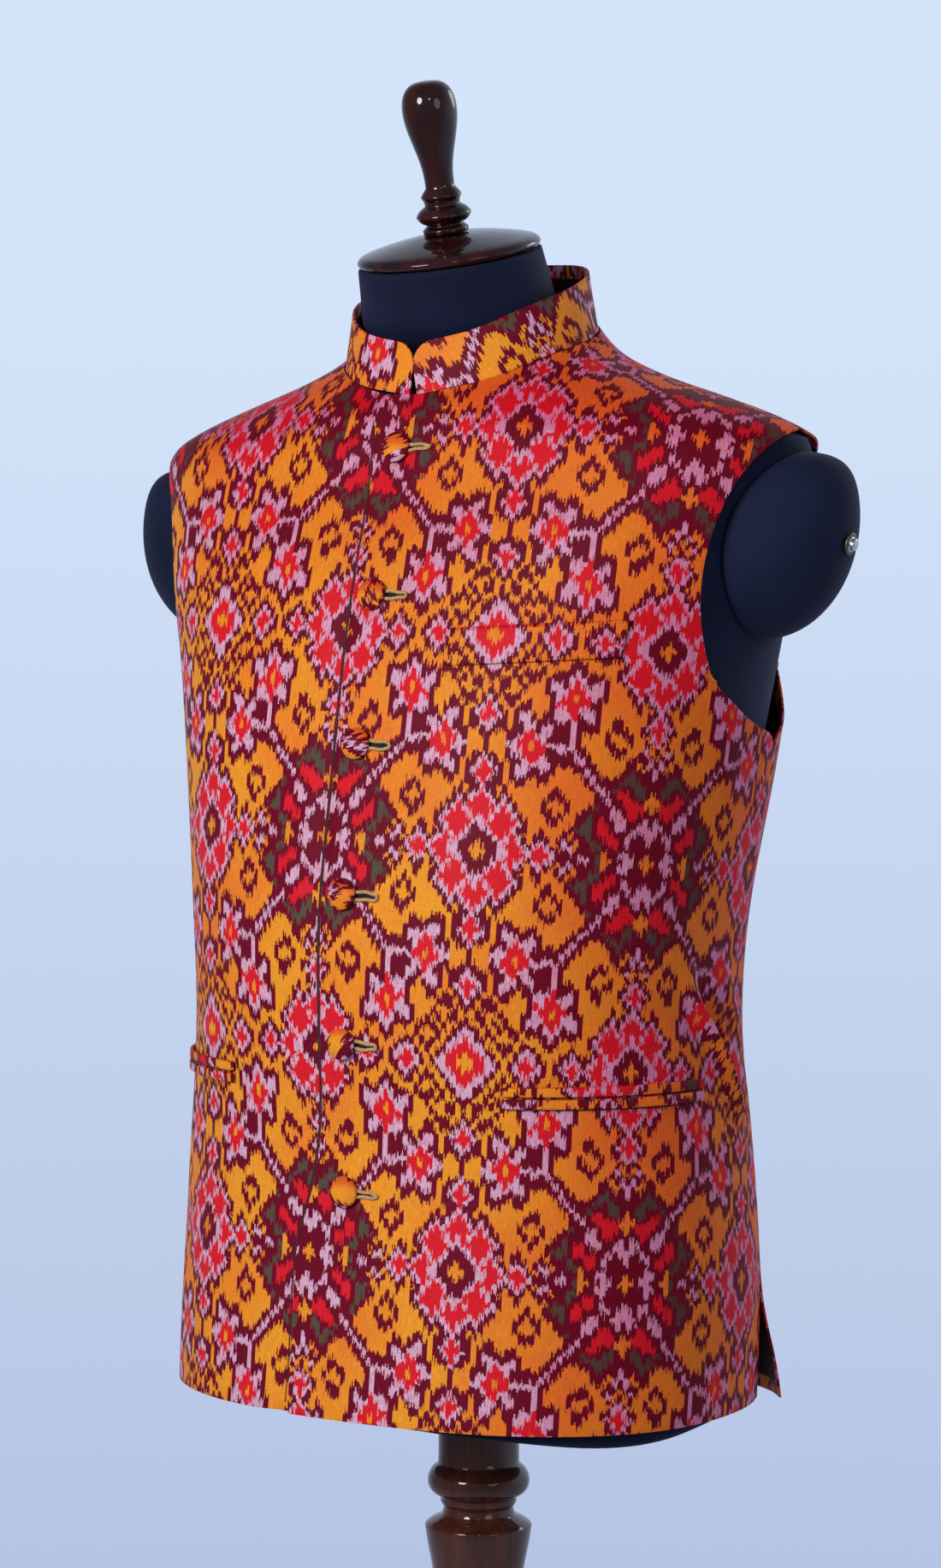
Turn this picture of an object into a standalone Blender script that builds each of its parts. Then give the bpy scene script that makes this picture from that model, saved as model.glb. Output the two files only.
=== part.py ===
"""Nehru jacket, size 42, on a turned-wood dress form.

Metres, +Z up. The origin is under the pole, on the counter; the jacket faces -Y and the
wearer's left is +X. The jacket is one smooth surface, cut into panels along its seams.
A place on it is a turn (degrees round the body: 0 at the centre front, 90 at the wearer's
left, 180 at the centre back) and a level (row number in the JACKET table).
"""
import bmesh
import bpy
import numpy as np
from mathutils import Matrix, Vector

# ---------------------------------------------------------------- driving sizes
HEM_Z = 0.400            # front hem above the counter
WALL = 0.0020            # cloth, interfacing and lining together
GAP = 0.0003             # between two pieces at a seam

# Outer surface of the jacket: squared-off ovals, one a row, from the hem to the neck.
# height above the hem, half width, centre y, front reach, back reach, squareness
JACKET = np.array((
    (0.000, 0.199, -0.018, 0.152, 0.148, 2.35),
    (0.087, 0.200, -0.015, 0.148, 0.145, 2.35),
    (0.172, 0.195, -0.013, 0.145, 0.132, 2.35),
    (0.248, 0.189, -0.012, 0.151, 0.119, 2.35),
    (0.322, 0.193, -0.010, 0.154, 0.117, 2.35),
    (0.399, 0.204, -0.005, 0.147, 0.127, 2.40),
    (0.476, 0.215, -0.002, 0.138, 0.135, 2.45),
    (0.543, 0.230, 0.000, 0.125, 0.134, 2.45),
    (0.594, 0.241, 0.000, 0.109, 0.125, 2.35),
    (0.624, 0.244, -0.001, 0.100, 0.109, 2.20),
    (0.640, 0.221, -0.001, 0.0955, 0.094, 2.10),
    (0.656, 0.178, 0.000, 0.090, 0.081, 2.05),
    (0.672, 0.131, 0.001, 0.081, 0.071, 2.00),
    (0.692, 0.093, 0.001, 0.073, 0.063, 2.00),
    (0.727, 0.070, -0.004, 0.066, 0.056, 2.00),
))

# Cutting lines on that surface. Neckline: turn in degrees, height above the hem.
NECKLINE = np.array(((0, 0.655), (20, 0.665), (40, 0.678), (60, 0.687), (90, 0.698), (130, 0.711), (180, 0.716)), float)
# Armhole in side view, from the armpit up to the shoulder tip: y, height above the hem.
ARMHOLE_FRONT = np.array(((0.025, 0.436), (-0.023, 0.449), (-0.056, 0.471), (-0.071, 0.514),
                          (-0.069, 0.557), (-0.053, 0.602), (-0.031, 0.625), (-0.001, 0.633)))
ARMHOLE_BACK = np.array(((0.025, 0.436), (0.063, 0.449), (0.091, 0.476), (0.101, 0.518),
                         (0.097, 0.560), (0.079, 0.600), (0.045, 0.624), (-0.001, 0.633)))
SIDE_TURN = 115.0        # side seam at the hem, well behind the widest point
VENT_HEIGHT = 0.078      # side slits, up from the hem
VENT_FLARE = 0.016       # how far the back panel's corner stands out at a slit

# Front edge of the over panel: height above the hem, x past the centre front.
OVER_EDGE = np.array(((0.000, -0.041), (0.110, -0.041), (0.150, -0.026), (0.200, -0.021), (0.600, -0.019),
                      (0.655, -0.026)))
UNDER_EDGE_X = 0.026     # how far the under panel passes the centre front
SINK = WALL + 0.0014     # how far the under panel lies below the over panel's surface
SINK_CLEAR = 0.006       # sunk as far as this past the over panel's edge
SINK_WIDTH = 0.012       # width over which it rises again

COLLAR_HEIGHT, COLLAR_FRONT_HEIGHT = 0.036, 0.033
COLLAR_CORNER = 0.015    # radius of the rounded front corners
COLLAR_OPENING = 0.0032  # half the space between the front ends
COLLAR_GAP = 0.0011      # from the curve of the neckline, whose edges are cut in short straights
COLLAR_SEAT = 0.0008     # how far the band starts below the panels' edge
# Lean of the collar towards the neck: turn, degrees from upright.
COLLAR_LEAN = np.array(((0, 0), (30, 6), (60, 10), (90, 13), (140, 9), (180, 8)), float)

BUTTON_DIAMETER = 0.0205
BUTTON_DOME = 0.0070
BUTTON_LIFT = 0.0005     # under the flat back of a button
BUTTON_X = -0.0035       # the buttons' line, just past the centre front
BUTTON_TOP = 0.621       # height of the first button's centre above the hem
BUTTON_SPACING = 0.0952
BUTTON_COUNT = 6

# Strips sewn on a front: side, (turn, height) at both ends of the lower edge, width, thickness.
LIP, LIP_THICK = 0.0065, 0.0026
STRIP_LIFT = 0.0006      # clear of the panel's short straights
STRIPS = {
    "breast_welt": (1, (14.8, 0.4805), (45.2, 0.4865), 0.024, 0.0016),
    "pocket_left_upper_welt": (1, (31.0, 0.2115), (79.0, 0.2125), LIP, LIP_THICK),
    "pocket_left_lower_welt": (1, (31.0, 0.2038), (79.0, 0.2048), LIP, LIP_THICK),
    "pocket_right_upper_welt": (-1, (29.5, 0.2153), (77.5, 0.2160), LIP, LIP_THICK),
    "pocket_right_lower_welt": (-1, (29.5, 0.2076), (77.5, 0.2083), LIP, LIP_THICK),
}

UNDER_HEM_RISE = 0.0032  # the under front's hem, where it meets the over front's corner

# Creases in the cloth: side, (turn, height) at each end, depth, half width.
CREASES = ((1, (75, 0.269), (101, 0.212), 0.0040, 0.014),)

# ---------------------------------------------------------------- the form
FORM_DROP = 0.014        # the middle of the form's underside, below the jacket's hem
SEAT_RADIUS = 0.045      # the flat middle, which the pole meets
# The form's lower edge, which the stretched jersey pulls uneven: turn, depth below the hem.
FORM_EDGE = np.array(((0, 0.0015), (12, 0.0015), (24, 0.0045), (33, 0.0050), (42, 0.0092), (50, 0.0108),
                      (60, 0.0115), (76, 0.0095), (90, 0.0040), (120, 0.0045), (150, 0.0070), (180, 0.0080),
                      (225, 0.0080), (270, 0.0080), (300, 0.0085), (315, 0.0050), (330, 0.0012), (345, 0.0005),
                      (360, 0.0015)))
BODY_EASE = 0.0080       # between the cloth and the form, all round
THROAT_EASE = 0.0040     # inside the collar
SHOULDER_EASE = 0.0009   # where the cloth lies on the form
# Neck of the form: height, centre y, half width, half depth, forward lean in degrees.
NECK = np.array((
    (0.6970, -0.0235, 0.0720, 0.0560, 5.0),
    (0.7120, -0.0310, 0.0680, 0.0590, 10.0),
    (0.7310, -0.0380, 0.0640, 0.0612, 14.0),
    (0.7485, -0.0447, 0.0615, 0.0612, 15.5),
))
# Arm pads, padded ovals on the form's sides: centre and half sizes in side view.
PAD_Y, PAD_HEIGHT, PAD_HALF_Y, PAD_HALF_HEIGHT = 0.000, 0.557, 0.060, 0.062
PAD_BULGE = 0.043
PAD_RIM, PAD_GAP = 0.003, 0.0011

# Turned pieces: (height along the piece's own axis, radius), from the bottom up.
CAP_PROFILE = ((-0.0040, 0.0), (-0.0040, 0.0570), (-0.0028, 0.0600), (0.0, 0.0615), (0.0030, 0.0600),
               (0.0048, 0.0560), (0.0090, 0.0380), (0.0122, 0.0170), (0.0122, 0.0))
FINIAL_PROFILE = ((0.0, 0.0), (0.0, 0.0150), (0.0030, 0.0155), (0.0060, 0.0120), (0.0080, 0.0165),
                  (0.0120, 0.0187), (0.0160, 0.0165), (0.0185, 0.0118), (0.0215, 0.0120), (0.0245, 0.0139),
                  (0.0275, 0.0120), (0.0300, 0.0098), (0.0380, 0.0098), (0.0480, 0.0112), (0.0610, 0.0150),
                  (0.0720, 0.0178), (0.0810, 0.0186), (0.0890, 0.0176), (0.0950, 0.0145), (0.0985, 0.0095),
                  (0.0995, 0.0))
POLE_PROFILE = ((0.0453, 0.0), (0.0453, 0.0320), (0.0530, 0.0350), (0.0570, 0.0300), (0.0750, 0.0230),
                (0.1200, 0.0210), (0.1900, 0.0235), (0.2480, 0.0285), (0.2700, 0.0308), (0.2870, 0.0345),
                (0.2960, 0.0360), (0.3010, 0.0365), (0.3035, 0.0345), (0.3080, 0.0250), (0.3130, 0.0236),
                (0.3165, 0.0262), (0.3200, 0.0262), (0.3218, 0.0290), (0.3240, 0.0325), (0.3280, 0.0347),
                (0.3320, 0.0350), (0.3365, 0.0340), (0.3405, 0.0310), (0.3425, 0.0276), (0.3854, 0.0276),
                (0.3857, 0.0))
BASE_PROFILE = ((0.0, 0.0), (0.0, 0.1620), (0.0030, 0.1650), (0.0160, 0.1650), (0.0220, 0.1610), (0.0250, 0.1530),
                (0.0300, 0.1200), (0.0380, 0.0600), (0.0420, 0.0440), (0.0450, 0.0400), (0.0450, 0.0))
BOLT_PROFILE = ((0.0, 0.0), (0.0, 0.0075), (0.0012, 0.0075), (0.0016, 0.0043), (0.0042, 0.0040), (0.0050, 0.0))
BUTTON_PROFILE = ((0.0, 0.0), (0.0, 0.36), (0.18, 0.44), (0.30, 0.50), (0.50, 0.485), (0.80, 0.34), (1.0, 0.0))


# ---------------------------------------------------------------- the jacket's surface
def spline(table, t):
    """Catmull-Rom value of the table's columns at row number t."""
    last = len(table) - 1
    t = np.clip(np.asarray(t, float), 0, last - 1e-9)
    row = np.floor(t).astype(int)
    u = (t - row)[..., None]
    p1, p2 = table[row], table[row + 1]
    p0 = np.where((row > 0)[..., None], table[np.maximum(row - 1, 0)], 2 * p1 - p2)
    p3 = np.where((row < last - 1)[..., None], table[np.minimum(row + 2, last)], 2 * p2 - p1)
    return 0.5 * (2 * p1 + (p2 - p0) * u + (2 * p0 - 5 * p1 + 4 * p2 - p3) * u ** 2
                  + (3 * p1 - p0 - 3 * p2 + p3) * u ** 3)


def level_at(height):
    """Row number of the JACKET table at a height above the hem."""
    rows = np.linspace(0, len(JACKET) - 1, 1401)
    return np.interp(height, spline(JACKET, rows)[..., 0], rows)


def surface(turn, level):
    """Points of the plain surface, before folds and thickness."""
    turn, level = np.broadcast_arrays(np.asarray(turn, float), np.asarray(level, float))
    height, half, mid, front, back, square = np.moveaxis(spline(JACKET, level), -1, 0)
    s, c = np.sin(np.radians(turn)), np.cos(np.radians(turn))
    swell = (np.abs(s) ** square + np.abs(c) ** square) ** (-1 / square)
    reach = np.where(c >= 0, front, back)
    return np.stack((half * s * swell, mid - reach * c * swell, height + HEM_Z), -1)


def unit(vectors):
    return vectors / np.linalg.norm(vectors, axis=-1, keepdims=True)


def normal(turn, level):
    """Outward direction of the plain surface."""
    turn, level = np.broadcast_arrays(np.asarray(turn, float), np.asarray(level, float))
    low, high = np.maximum(level - 0.02, 0), np.minimum(level + 0.02, len(JACKET) - 1.001)
    across = surface(turn + 0.5, level) - surface(turn - 0.5, level)
    along = surface(turn, high) - surface(turn, low)
    return unit(np.cross(across, along))


def turn_at(y, level):
    """Turn, 0 to 180, where the surface has this y at this level."""
    turns = np.linspace(0, 180, 721)
    return np.array([np.interp(v, surface(turns, k)[:, 1], turns) for v, k in zip(y, level)])


def smooth(x):
    x = np.clip(x, 0, 1)
    return x * x * (3 - 2 * x)


def crease(side, turn, level):
    """Depth of the pressed-in creases at a place on one side."""
    height = spline(JACKET, level)[..., 0]
    depth = np.zeros(np.shape(height))
    for crease_side, start, end, deep, half_width in CREASES:
        if crease_side != side:
            continue
        metres = np.radians(1) * 0.19            # a degree of turn, on the cloth
        a, b = np.array(start) * (metres, 1), np.array(end) * (metres, 1)
        place = np.stack((turn * metres, height), -1)
        line = b - a
        along = np.clip((place - a) @ line / (line @ line), -0.3, 1.3)
        away = (place - a - along[..., None] * line) @ unit(np.array((line[1], -line[0])))
        fade = smooth((along + 0.3) / 0.5) * smooth((1.3 - along) / 0.5)
        wave = np.exp(-(away / half_width) ** 2) - 0.6 * np.exp(-((away - 1.7 * half_width) / half_width) ** 2)
        depth += deep * fade * wave
    return depth


def cloth(side, turn, level, lift=0.0):
    """Points of the jacket, lifted from its outer surface; side is 1 (wearer's left) or -1."""
    turn, level = np.broadcast_arrays(np.asarray(turn, float), np.asarray(level, float))
    out = surface(turn, level) + normal(turn, level) * (lift - crease(side, turn, level))[..., None]
    return out * (side, 1, 1)


def gap_turn(turn, level):
    """Half a seam's gap, as a turn."""
    step = surface(np.asarray(turn) + 0.5, level) - surface(np.asarray(turn) - 0.5, level)
    return GAP / 2 / np.linalg.norm(step, axis=-1)


def even(places, count, to_point):
    """Resample a chain of (turn, level) places evenly along its length on the surface."""
    points = to_point(places)
    length = np.concatenate(([0], np.cumsum(np.linalg.norm(np.diff(points, axis=0), axis=1))))
    steps = np.linspace(0, length[-1], count)
    return np.stack([np.interp(steps, length, column) for column in places.T], -1)


def on_surface(places):
    return surface(places[:, 0], places[:, 1])


def neck_height(turn):
    """Height of the neckline at a turn, above the hem."""
    row = np.interp(np.abs(turn), NECKLINE[:, 0], np.arange(len(NECKLINE)))
    return spline(NECKLINE, row)[..., 1]


def neck_line(start_x, front, count):
    """Places along half the neckline, evenly spaced, from x at its middle to the shoulder seam."""
    first = turn_of_x(start_x, level_at(neck_height(0.0))) if front else 180.0
    turns = np.linspace(first, 90, 200)
    return even(np.stack((turns, level_at(neck_height(turns))), -1), count, on_surface)


def armhole_line(table, count):
    """Places along the armhole from the armpit to the shoulder tip."""
    y, height = spline(table, np.linspace(0, len(table) - 1, 160)).T
    level = level_at(height)
    return even(np.stack((turn_at(y, level), level), -1), count, on_surface)


# ---------------------------------------------------------------- panels
LOWER_HEIGHTS = np.concatenate((np.linspace(0, VENT_HEIGHT, 4), (0.110, 0.142, 0.170), np.linspace(0.190, 0.270, 6),
                                (0.292, 0.320, 0.352, 0.385, 0.412, ARMHOLE_FRONT[0, 1])))
EDGE_ROWS = 9            # rows between the armpit's height and the neck corner
NECK_ROWS = 7            # rows from the neck corner to the shoulder seam
FRONT_COLUMNS = 17
BACK_COLUMNS = 14


def panel_grid(inner_turn, start_x, armhole, sign, spread):
    """Grid of (turn, level) places over half a panel, from its middle edge to its side.

    inner_turn gives the middle edge at a level and start_x is where it meets the neckline.
    sign is -1 on a front and 1 on a back, for the seams' gap. spread gives each column's
    share of the way to the side, at a level.
    """
    lower = level_at(LOWER_HEIGHTS)
    neck = neck_line(start_x, sign < 0, NECK_ROWS + 1)
    edge = np.linspace(lower[-1], neck[0, 1], EDGE_ROWS + 1)[1:]
    middle = np.concatenate((np.stack((inner_turn(lower), lower), -1),
                             np.stack((inner_turn(edge[:-1]), edge[:-1]), -1), neck))
    hole = armhole_line(armhole, EDGE_ROWS + NECK_ROWS + 1)
    seam = np.linspace(SIDE_TURN, hole[0, 0], len(lower))
    side = np.concatenate((np.stack((seam, lower), -1), hole[1:]))
    side[:len(lower), 0] += sign * gap_turn(seam, lower)
    shares = spread(middle[:, 1], middle[:, 0], side[:, 0])
    grid = middle[:, None] + (side - middle)[:, None] * shares[:, :, None]
    grid[-1, :, 0] += sign * gap_turn(90.0, grid[-1, :, 1])
    return grid


def even_columns(count):
    def spread(level, start, end):
        return np.repeat(np.linspace(0, 1, count)[None], len(level), axis=0)
    return spread


def over_front():
    """The wearer's left front, whose edge lies a little past the centre front."""
    start_x = np.interp(NECKLINE[0, 1], *OVER_EDGE.T)
    return panel_grid(lambda level: turn_of_x(np.interp(spline(JACKET, level)[..., 0], *OVER_EDGE.T), level),
                      start_x, ARMHOLE_FRONT, -1, even_columns(FRONT_COLUMNS))


def under_front():
    """The wearer's right front, seen mirrored; its columns are close where it sinks."""
    def spread(level, start, end):
        edge = -np.interp(spline(JACKET, level)[..., 0], *OVER_EDGE.T)
        sunk = turn_of_x(edge + SINK_CLEAR / 2, level)
        level_again = turn_of_x(edge + SINK_CLEAR + SINK_WIDTH + 0.003, level)
        width = end - start
        sunk = np.maximum(sunk - start, 0.04 * width) / width
        risen = np.maximum(level_again - start, 0.12 * width) / width
        first = np.stack((0 * level, sunk / 2, sunk, (sunk + risen) / 2, risen), -1)
        last = np.arange(1, FRONT_COLUMNS - 4) / (FRONT_COLUMNS - 5)
        shares = np.concatenate((first, first[:, -1:] + (1 - first[:, -1:]) * last), axis=1)
        return shares
    return panel_grid(lambda level: turn_of_x(-UNDER_EDGE_X, level), -UNDER_EDGE_X, ARMHOLE_FRONT, -1, spread)


def turn_of_x(x, level):
    """Turn near the centre front where the surface has this x."""
    return np.degrees(np.arcsin(x / spline(JACKET, level)[..., 1]))


def under_sink(turn, level):
    """How far the under panel lies below the over panel's surface."""
    x = surface(turn, level)[..., 0]
    edge = -np.interp(spline(JACKET, level)[..., 0], *OVER_EDGE.T)
    return SINK * smooth((edge + SINK_CLEAR + SINK_WIDTH - x) / SINK_WIDTH)


def hem_rise(turn, level):
    """How far the under front's hem is drawn up near its edge."""
    height = spline(JACKET, level)[..., 0]
    rise = UNDER_HEM_RISE * smooth(1 - turn / 26) * smooth(1 - height / VENT_HEIGHT)
    return rise[..., None] * (0, 0, 1)


def vent_flare(turn, level):
    """How far the back panel stands out beside its side slit."""
    height = spline(JACKET, level)[..., 0]
    return VENT_FLARE * smooth(1 - height / VENT_HEIGHT) * smooth(1 - (turn - SIDE_TURN) / 22)


# ---------------------------------------------------------------- making objects
COLOURS = {               # base colour, roughness, metallic
    "silk": ((0.62, 0.27, 0.06), 0.45, 0.0),
    "silk_band": ((0.42, 0.07, 0.07), 0.45, 0.0),
    "jersey": ((0.012, 0.014, 0.022), 0.85, 0.0),
    "mahogany": ((0.045, 0.008, 0.008), 0.18, 0.0),
    "lacquered_wood": ((0.10, 0.035, 0.022), 0.28, 0.0),
    "steel": ((0.55, 0.55, 0.53), 0.30, 1.0),
}


def finish(bm, name, finish_name, matrix=None):
    """Turn a bmesh into a named object with its own material."""
    bmesh.ops.recalc_face_normals(bm, faces=bm.faces[:])
    mesh = bpy.data.meshes.new(name)
    bm.to_mesh(mesh)
    bm.free()
    mesh.shade_smooth()
    mesh.set_sharp_from_angle(angle=np.radians(35))
    colour, roughness, metallic = COLOURS[finish_name]
    material = bpy.data.materials.new(name)
    material.use_nodes = True
    shader = material.node_tree.nodes["Principled BSDF"]
    shader.inputs["Base Color"].default_value = (*colour, 1)
    shader.inputs["Roughness"].default_value = roughness
    shader.inputs["Metallic"].default_value = metallic
    material.diffuse_color = (*colour, 1)
    mesh.materials.append(material)
    item = bpy.data.objects.new(name, mesh)
    if matrix is not None:
        item.matrix_world = matrix
    bpy.context.scene.collection.objects.link(item)
    return item


def add_grid(bm, outer, inner=None):
    """Add a grid of faces at the outer points; each vertex remembers its inner point."""
    rows, columns = outer.shape[:2]
    layer = bm.verts.layers.float_vector.get("inner") or bm.verts.layers.float_vector.new("inner")
    verts = bmesh.ops.create_grid(bm, x_segments=columns - 1, y_segments=rows - 1, size=0.5)["verts"]
    inner = outer if inner is None else inner
    for vert, place, under in zip(verts, outer.reshape(-1, 3), inner.reshape(-1, 3)):
        vert.co = place
        vert[layer] = under


def thicken(bm):
    """Weld the grids' shared edges, then extrude the sheet to each vertex's inner point."""
    bmesh.ops.remove_doubles(bm, verts=bm.verts[:], dist=1e-5)
    layer = bm.verts.layers.float_vector["inner"]
    extruded = bmesh.ops.extrude_face_region(bm, geom=bm.faces[:])["geom"]
    for vert in extruded:
        if isinstance(vert, bmesh.types.BMVert):
            vert.co = vert[layer]


def sheet(name, grids, finish_name="silk"):
    """A piece of cloth from one or more (outer, inner) grids that share an edge."""
    bm = bmesh.new()
    for outer, inner in grids:
        add_grid(bm, outer, inner)
    thicken(bm)
    return finish(bm, name, finish_name)


def turned(name, profile, finish_name, segments=32, matrix=None):
    """A turned piece: its (height, radius) profile spun about its axis."""
    bm = bmesh.new()
    verts = [bm.verts.new((radius, 0, height)) for height, radius in profile]
    edges = [bm.edges.new(pair) for pair in zip(verts, verts[1:])]
    bmesh.ops.spin(bm, geom=verts + edges, cent=(0, 0, 0), axis=(0, 0, 1), angle=2 * np.pi,
                   steps=segments, use_merge=True)
    bmesh.ops.remove_doubles(bm, verts=bm.verts[:], dist=1e-6)
    return finish(bm, name, finish_name, matrix)


def facing(point, axis):
    """Matrix that puts a piece's own +Z along an axis at a point."""
    turn = Vector((0, 0, 1)).rotation_difference(Vector(axis))
    return Matrix.Translation(Vector(point)) @ turn.to_matrix().to_4x4()


# ---------------------------------------------------------------- the jacket's pieces
def build_fronts():
    for side, name, grid in ((1, "front_left", over_front()), (-1, "front_right", under_front())):
        turn, level = np.moveaxis(grid, -1, 0)
        sink = 0.0 if side > 0 else under_sink(turn, level)
        rise = 0.0 if side > 0 else hem_rise(turn, level)
        sheet(name, [(cloth(side, turn, level, -sink) + rise, cloth(side, turn, level, -sink - WALL) + rise)])


def build_back():
    grid = panel_grid(lambda level: np.full(np.shape(level), 180.0), 0.0, ARMHOLE_BACK, 1, even_columns(BACK_COLUMNS))
    turn, level = np.moveaxis(grid, -1, 0)
    flare = vent_flare(turn, level)
    halves = []
    for side in (1, -1):
        halves.append((cloth(side, turn, level, flare), cloth(side, turn, level, flare - WALL)))
    sheet("back", halves)


def collar_foot(count):
    """Places (turn, level) under the collar, all round the neck from one front end to the other."""
    front, back = neck_line(COLLAR_OPENING, True, count), neck_line(0.0, False, count)
    half = np.concatenate((front, back[-2::-1]))
    return np.concatenate((half, (half * (-1, 1) + (360, 0))[-2::-1]))


def build_collar():
    turn, level = collar_foot(12).T
    foot, outward = surface(turn, level), normal(turn, level)
    run = unit(np.gradient(foot, axis=0))
    to_neck = unit(np.cross(outward, run))
    folded = np.minimum(turn, 360 - turn)
    lean = np.radians(np.interp(folded, *COLLAR_LEAN.T))[:, None]
    foot = foot + to_neck * COLLAR_GAP - outward * COLLAR_SEAT
    middle = (foot.min(axis=0) + foot.max(axis=0)) / 2
    inward = unit((middle - foot) * (1, 1, 0))
    rise = (0, 0, 1) * np.cos(lean) + inward * np.sin(lean)
    rise = unit(rise - run * np.sum(rise * run, axis=1, keepdims=True))
    across = np.cross(rise, run)
    across *= np.sign(np.sum(across * inward, axis=1, keepdims=True))

    # closer columns round the two front corners
    length = np.concatenate(([0], np.cumsum(np.linalg.norm(np.diff(foot, axis=0), axis=1))))
    corner = COLLAR_CORNER * (1 - np.cos(np.linspace(0, np.pi / 2, 6)))
    middle = np.linspace(COLLAR_CORNER, length[-1] - COLLAR_CORNER, 34)[1:-1]
    along = np.concatenate((corner, middle, length[-1] - corner[::-1]))

    def at(values):
        return np.stack([np.interp(along, length, column) for column in values.T], -1)

    foot, rise, across, folded = at(foot), unit(at(rise)), unit(at(across)), at(folded[:, None])[:, 0]
    from_end = np.minimum(along, length[-1] - along)
    short = np.maximum(COLLAR_CORNER - from_end, 0)
    height = np.interp(folded, (0, 90), (COLLAR_FRONT_HEIGHT, COLLAR_HEIGHT))
    height -= COLLAR_CORNER - np.sqrt(np.maximum(COLLAR_CORNER ** 2 - short ** 2, 0))
    steps = np.linspace(0, 1, 4)[:, None, None]
    outer = foot + rise * height[:, None] * steps
    sheet("collar", [(outer, outer + across * WALL)], "silk_band")


def strip_grid(side, start, end, width, lift, columns=12):
    """Rows of points along a strip on a front, its lower edge from start to end."""
    turn = np.linspace(start[0], end[0], columns)
    height = np.linspace(start[1], end[1], columns)
    rows = [cloth(side, turn, level_at(height + width * step), lift) for step in np.linspace(0, 1, 3)]
    return np.array(rows)


def build_strips():
    for name, (side, start, end, width, thick) in STRIPS.items():
        sheet(name, [(strip_grid(side, start, end, width, STRIP_LIFT + thick),
                      strip_grid(side, start, end, width, STRIP_LIFT))], "silk_band")


def build_buttons():
    profile = [(h * BUTTON_DOME, r * BUTTON_DIAMETER) for h, r in BUTTON_PROFILE]
    for number in range(BUTTON_COUNT):
        level = level_at(BUTTON_TOP - number * BUTTON_SPACING)
        turn = turn_of_x(BUTTON_X, level)
        outward = normal(turn, level)
        place = surface(turn, level) + outward * BUTTON_LIFT
        turned(f"button_{number + 1}", profile, "silk", 16, facing(place, outward))


# ---------------------------------------------------------------- the form's pieces
def form_surface(turn, level):
    """The form under the jacket, clear of the cloth by the ease."""
    height = spline(JACKET, level)[..., 0]
    on_ridge = smooth((height - 0.58) / 0.05) * np.abs(np.sin(np.radians(turn))) ** 3
    ease = BODY_EASE + (THROAT_EASE - BODY_EASE) * smooth((height - 0.655) / 0.012)
    rest = SHOULDER_EASE + (THROAT_EASE - SHOULDER_EASE) * smooth((height - 0.665) / 0.015)
    ease = ease + (rest - ease) * on_ridge
    return surface(turn, level) - normal(turn, level) * (WALL + ease)[..., None]


def ring(height, centre_y, half_width, half_depth, lean, turns):
    """One tilted oval of the neck."""
    lean, turns = np.radians(lean), np.radians(turns)
    x, y = half_width * np.sin(turns), -half_depth * np.cos(turns)
    return np.stack((x, centre_y + y * np.cos(lean), HEM_Z + height + y * np.sin(lean)), -1)


def build_form():
    turns = np.linspace(0, 360, 31)
    folded = np.where(turns > 180, 360 - turns, turns)
    heights = np.concatenate((np.linspace(0, 0.56, 11), (0.590, 0.612, 0.630, 0.644, 0.656, 0.668, 0.680, 0.688)))
    rows = []
    for height in heights:
        row = form_surface(folded, np.full(len(turns), level_at(height)))
        row[:, 0] *= np.where(turns > 180, -1, 1)
        rows.append(row)
    edge = rows[0] - np.interp(turns, *FORM_EDGE.T)[:, None] * (0, 0, 1)
    around = np.radians(turns)
    seat = np.stack((SEAT_RADIUS * np.sin(around), -SEAT_RADIUS * np.cos(around), 0 * around), -1)
    rows = [seat + (0, 0, HEM_Z - FORM_DROP), edge] + rows
    rows += [ring(*row, turns) for row in NECK]
    bm = bmesh.new()
    add_grid(bm, np.array(rows))
    bmesh.ops.remove_doubles(bm, verts=bm.verts[:], dist=1e-6)
    bmesh.ops.holes_fill(bm, edges=[edge for edge in bm.edges if edge.is_boundary], sides=0)
    return finish(bm, "form_torso", "jersey")


def pad_place(side, angle, reach, lift):
    """A point of an arm pad; reach runs from 0 at its middle to 1 at its seam."""
    y = PAD_Y + PAD_HALF_Y * reach * np.cos(angle)
    height = PAD_HEIGHT + PAD_HALF_HEIGHT * reach * np.sin(angle)
    level = level_at(height)
    point = form_surface(turn_at(y, level), level)
    return (point + (lift[:, None] if np.ndim(lift) else lift) * np.array((1.0, 0, 0))) * (side, 1, 1)


def build_pads():
    angles = np.linspace(0, 2 * np.pi, 21)
    reaches = np.sin(np.linspace(np.pi / 2, 0, 6))
    for side, name in ((1, "form_arm_left"), (-1, "form_arm_right")):
        outer, inner = [], []
        for reach in reaches:
            bulge = PAD_RIM + PAD_BULGE * np.sqrt(max(1 - reach ** 2.4, 0))
            outer.append(pad_place(side, angles, reach, np.full(len(angles), PAD_GAP + bulge)))
            inner.append(pad_place(side, angles, reach, np.full(len(angles), PAD_GAP)))
        bm = bmesh.new()
        add_grid(bm, np.array(outer), np.array(inner))
        thicken(bm)
        finish(bm, name, "jersey")


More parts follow.
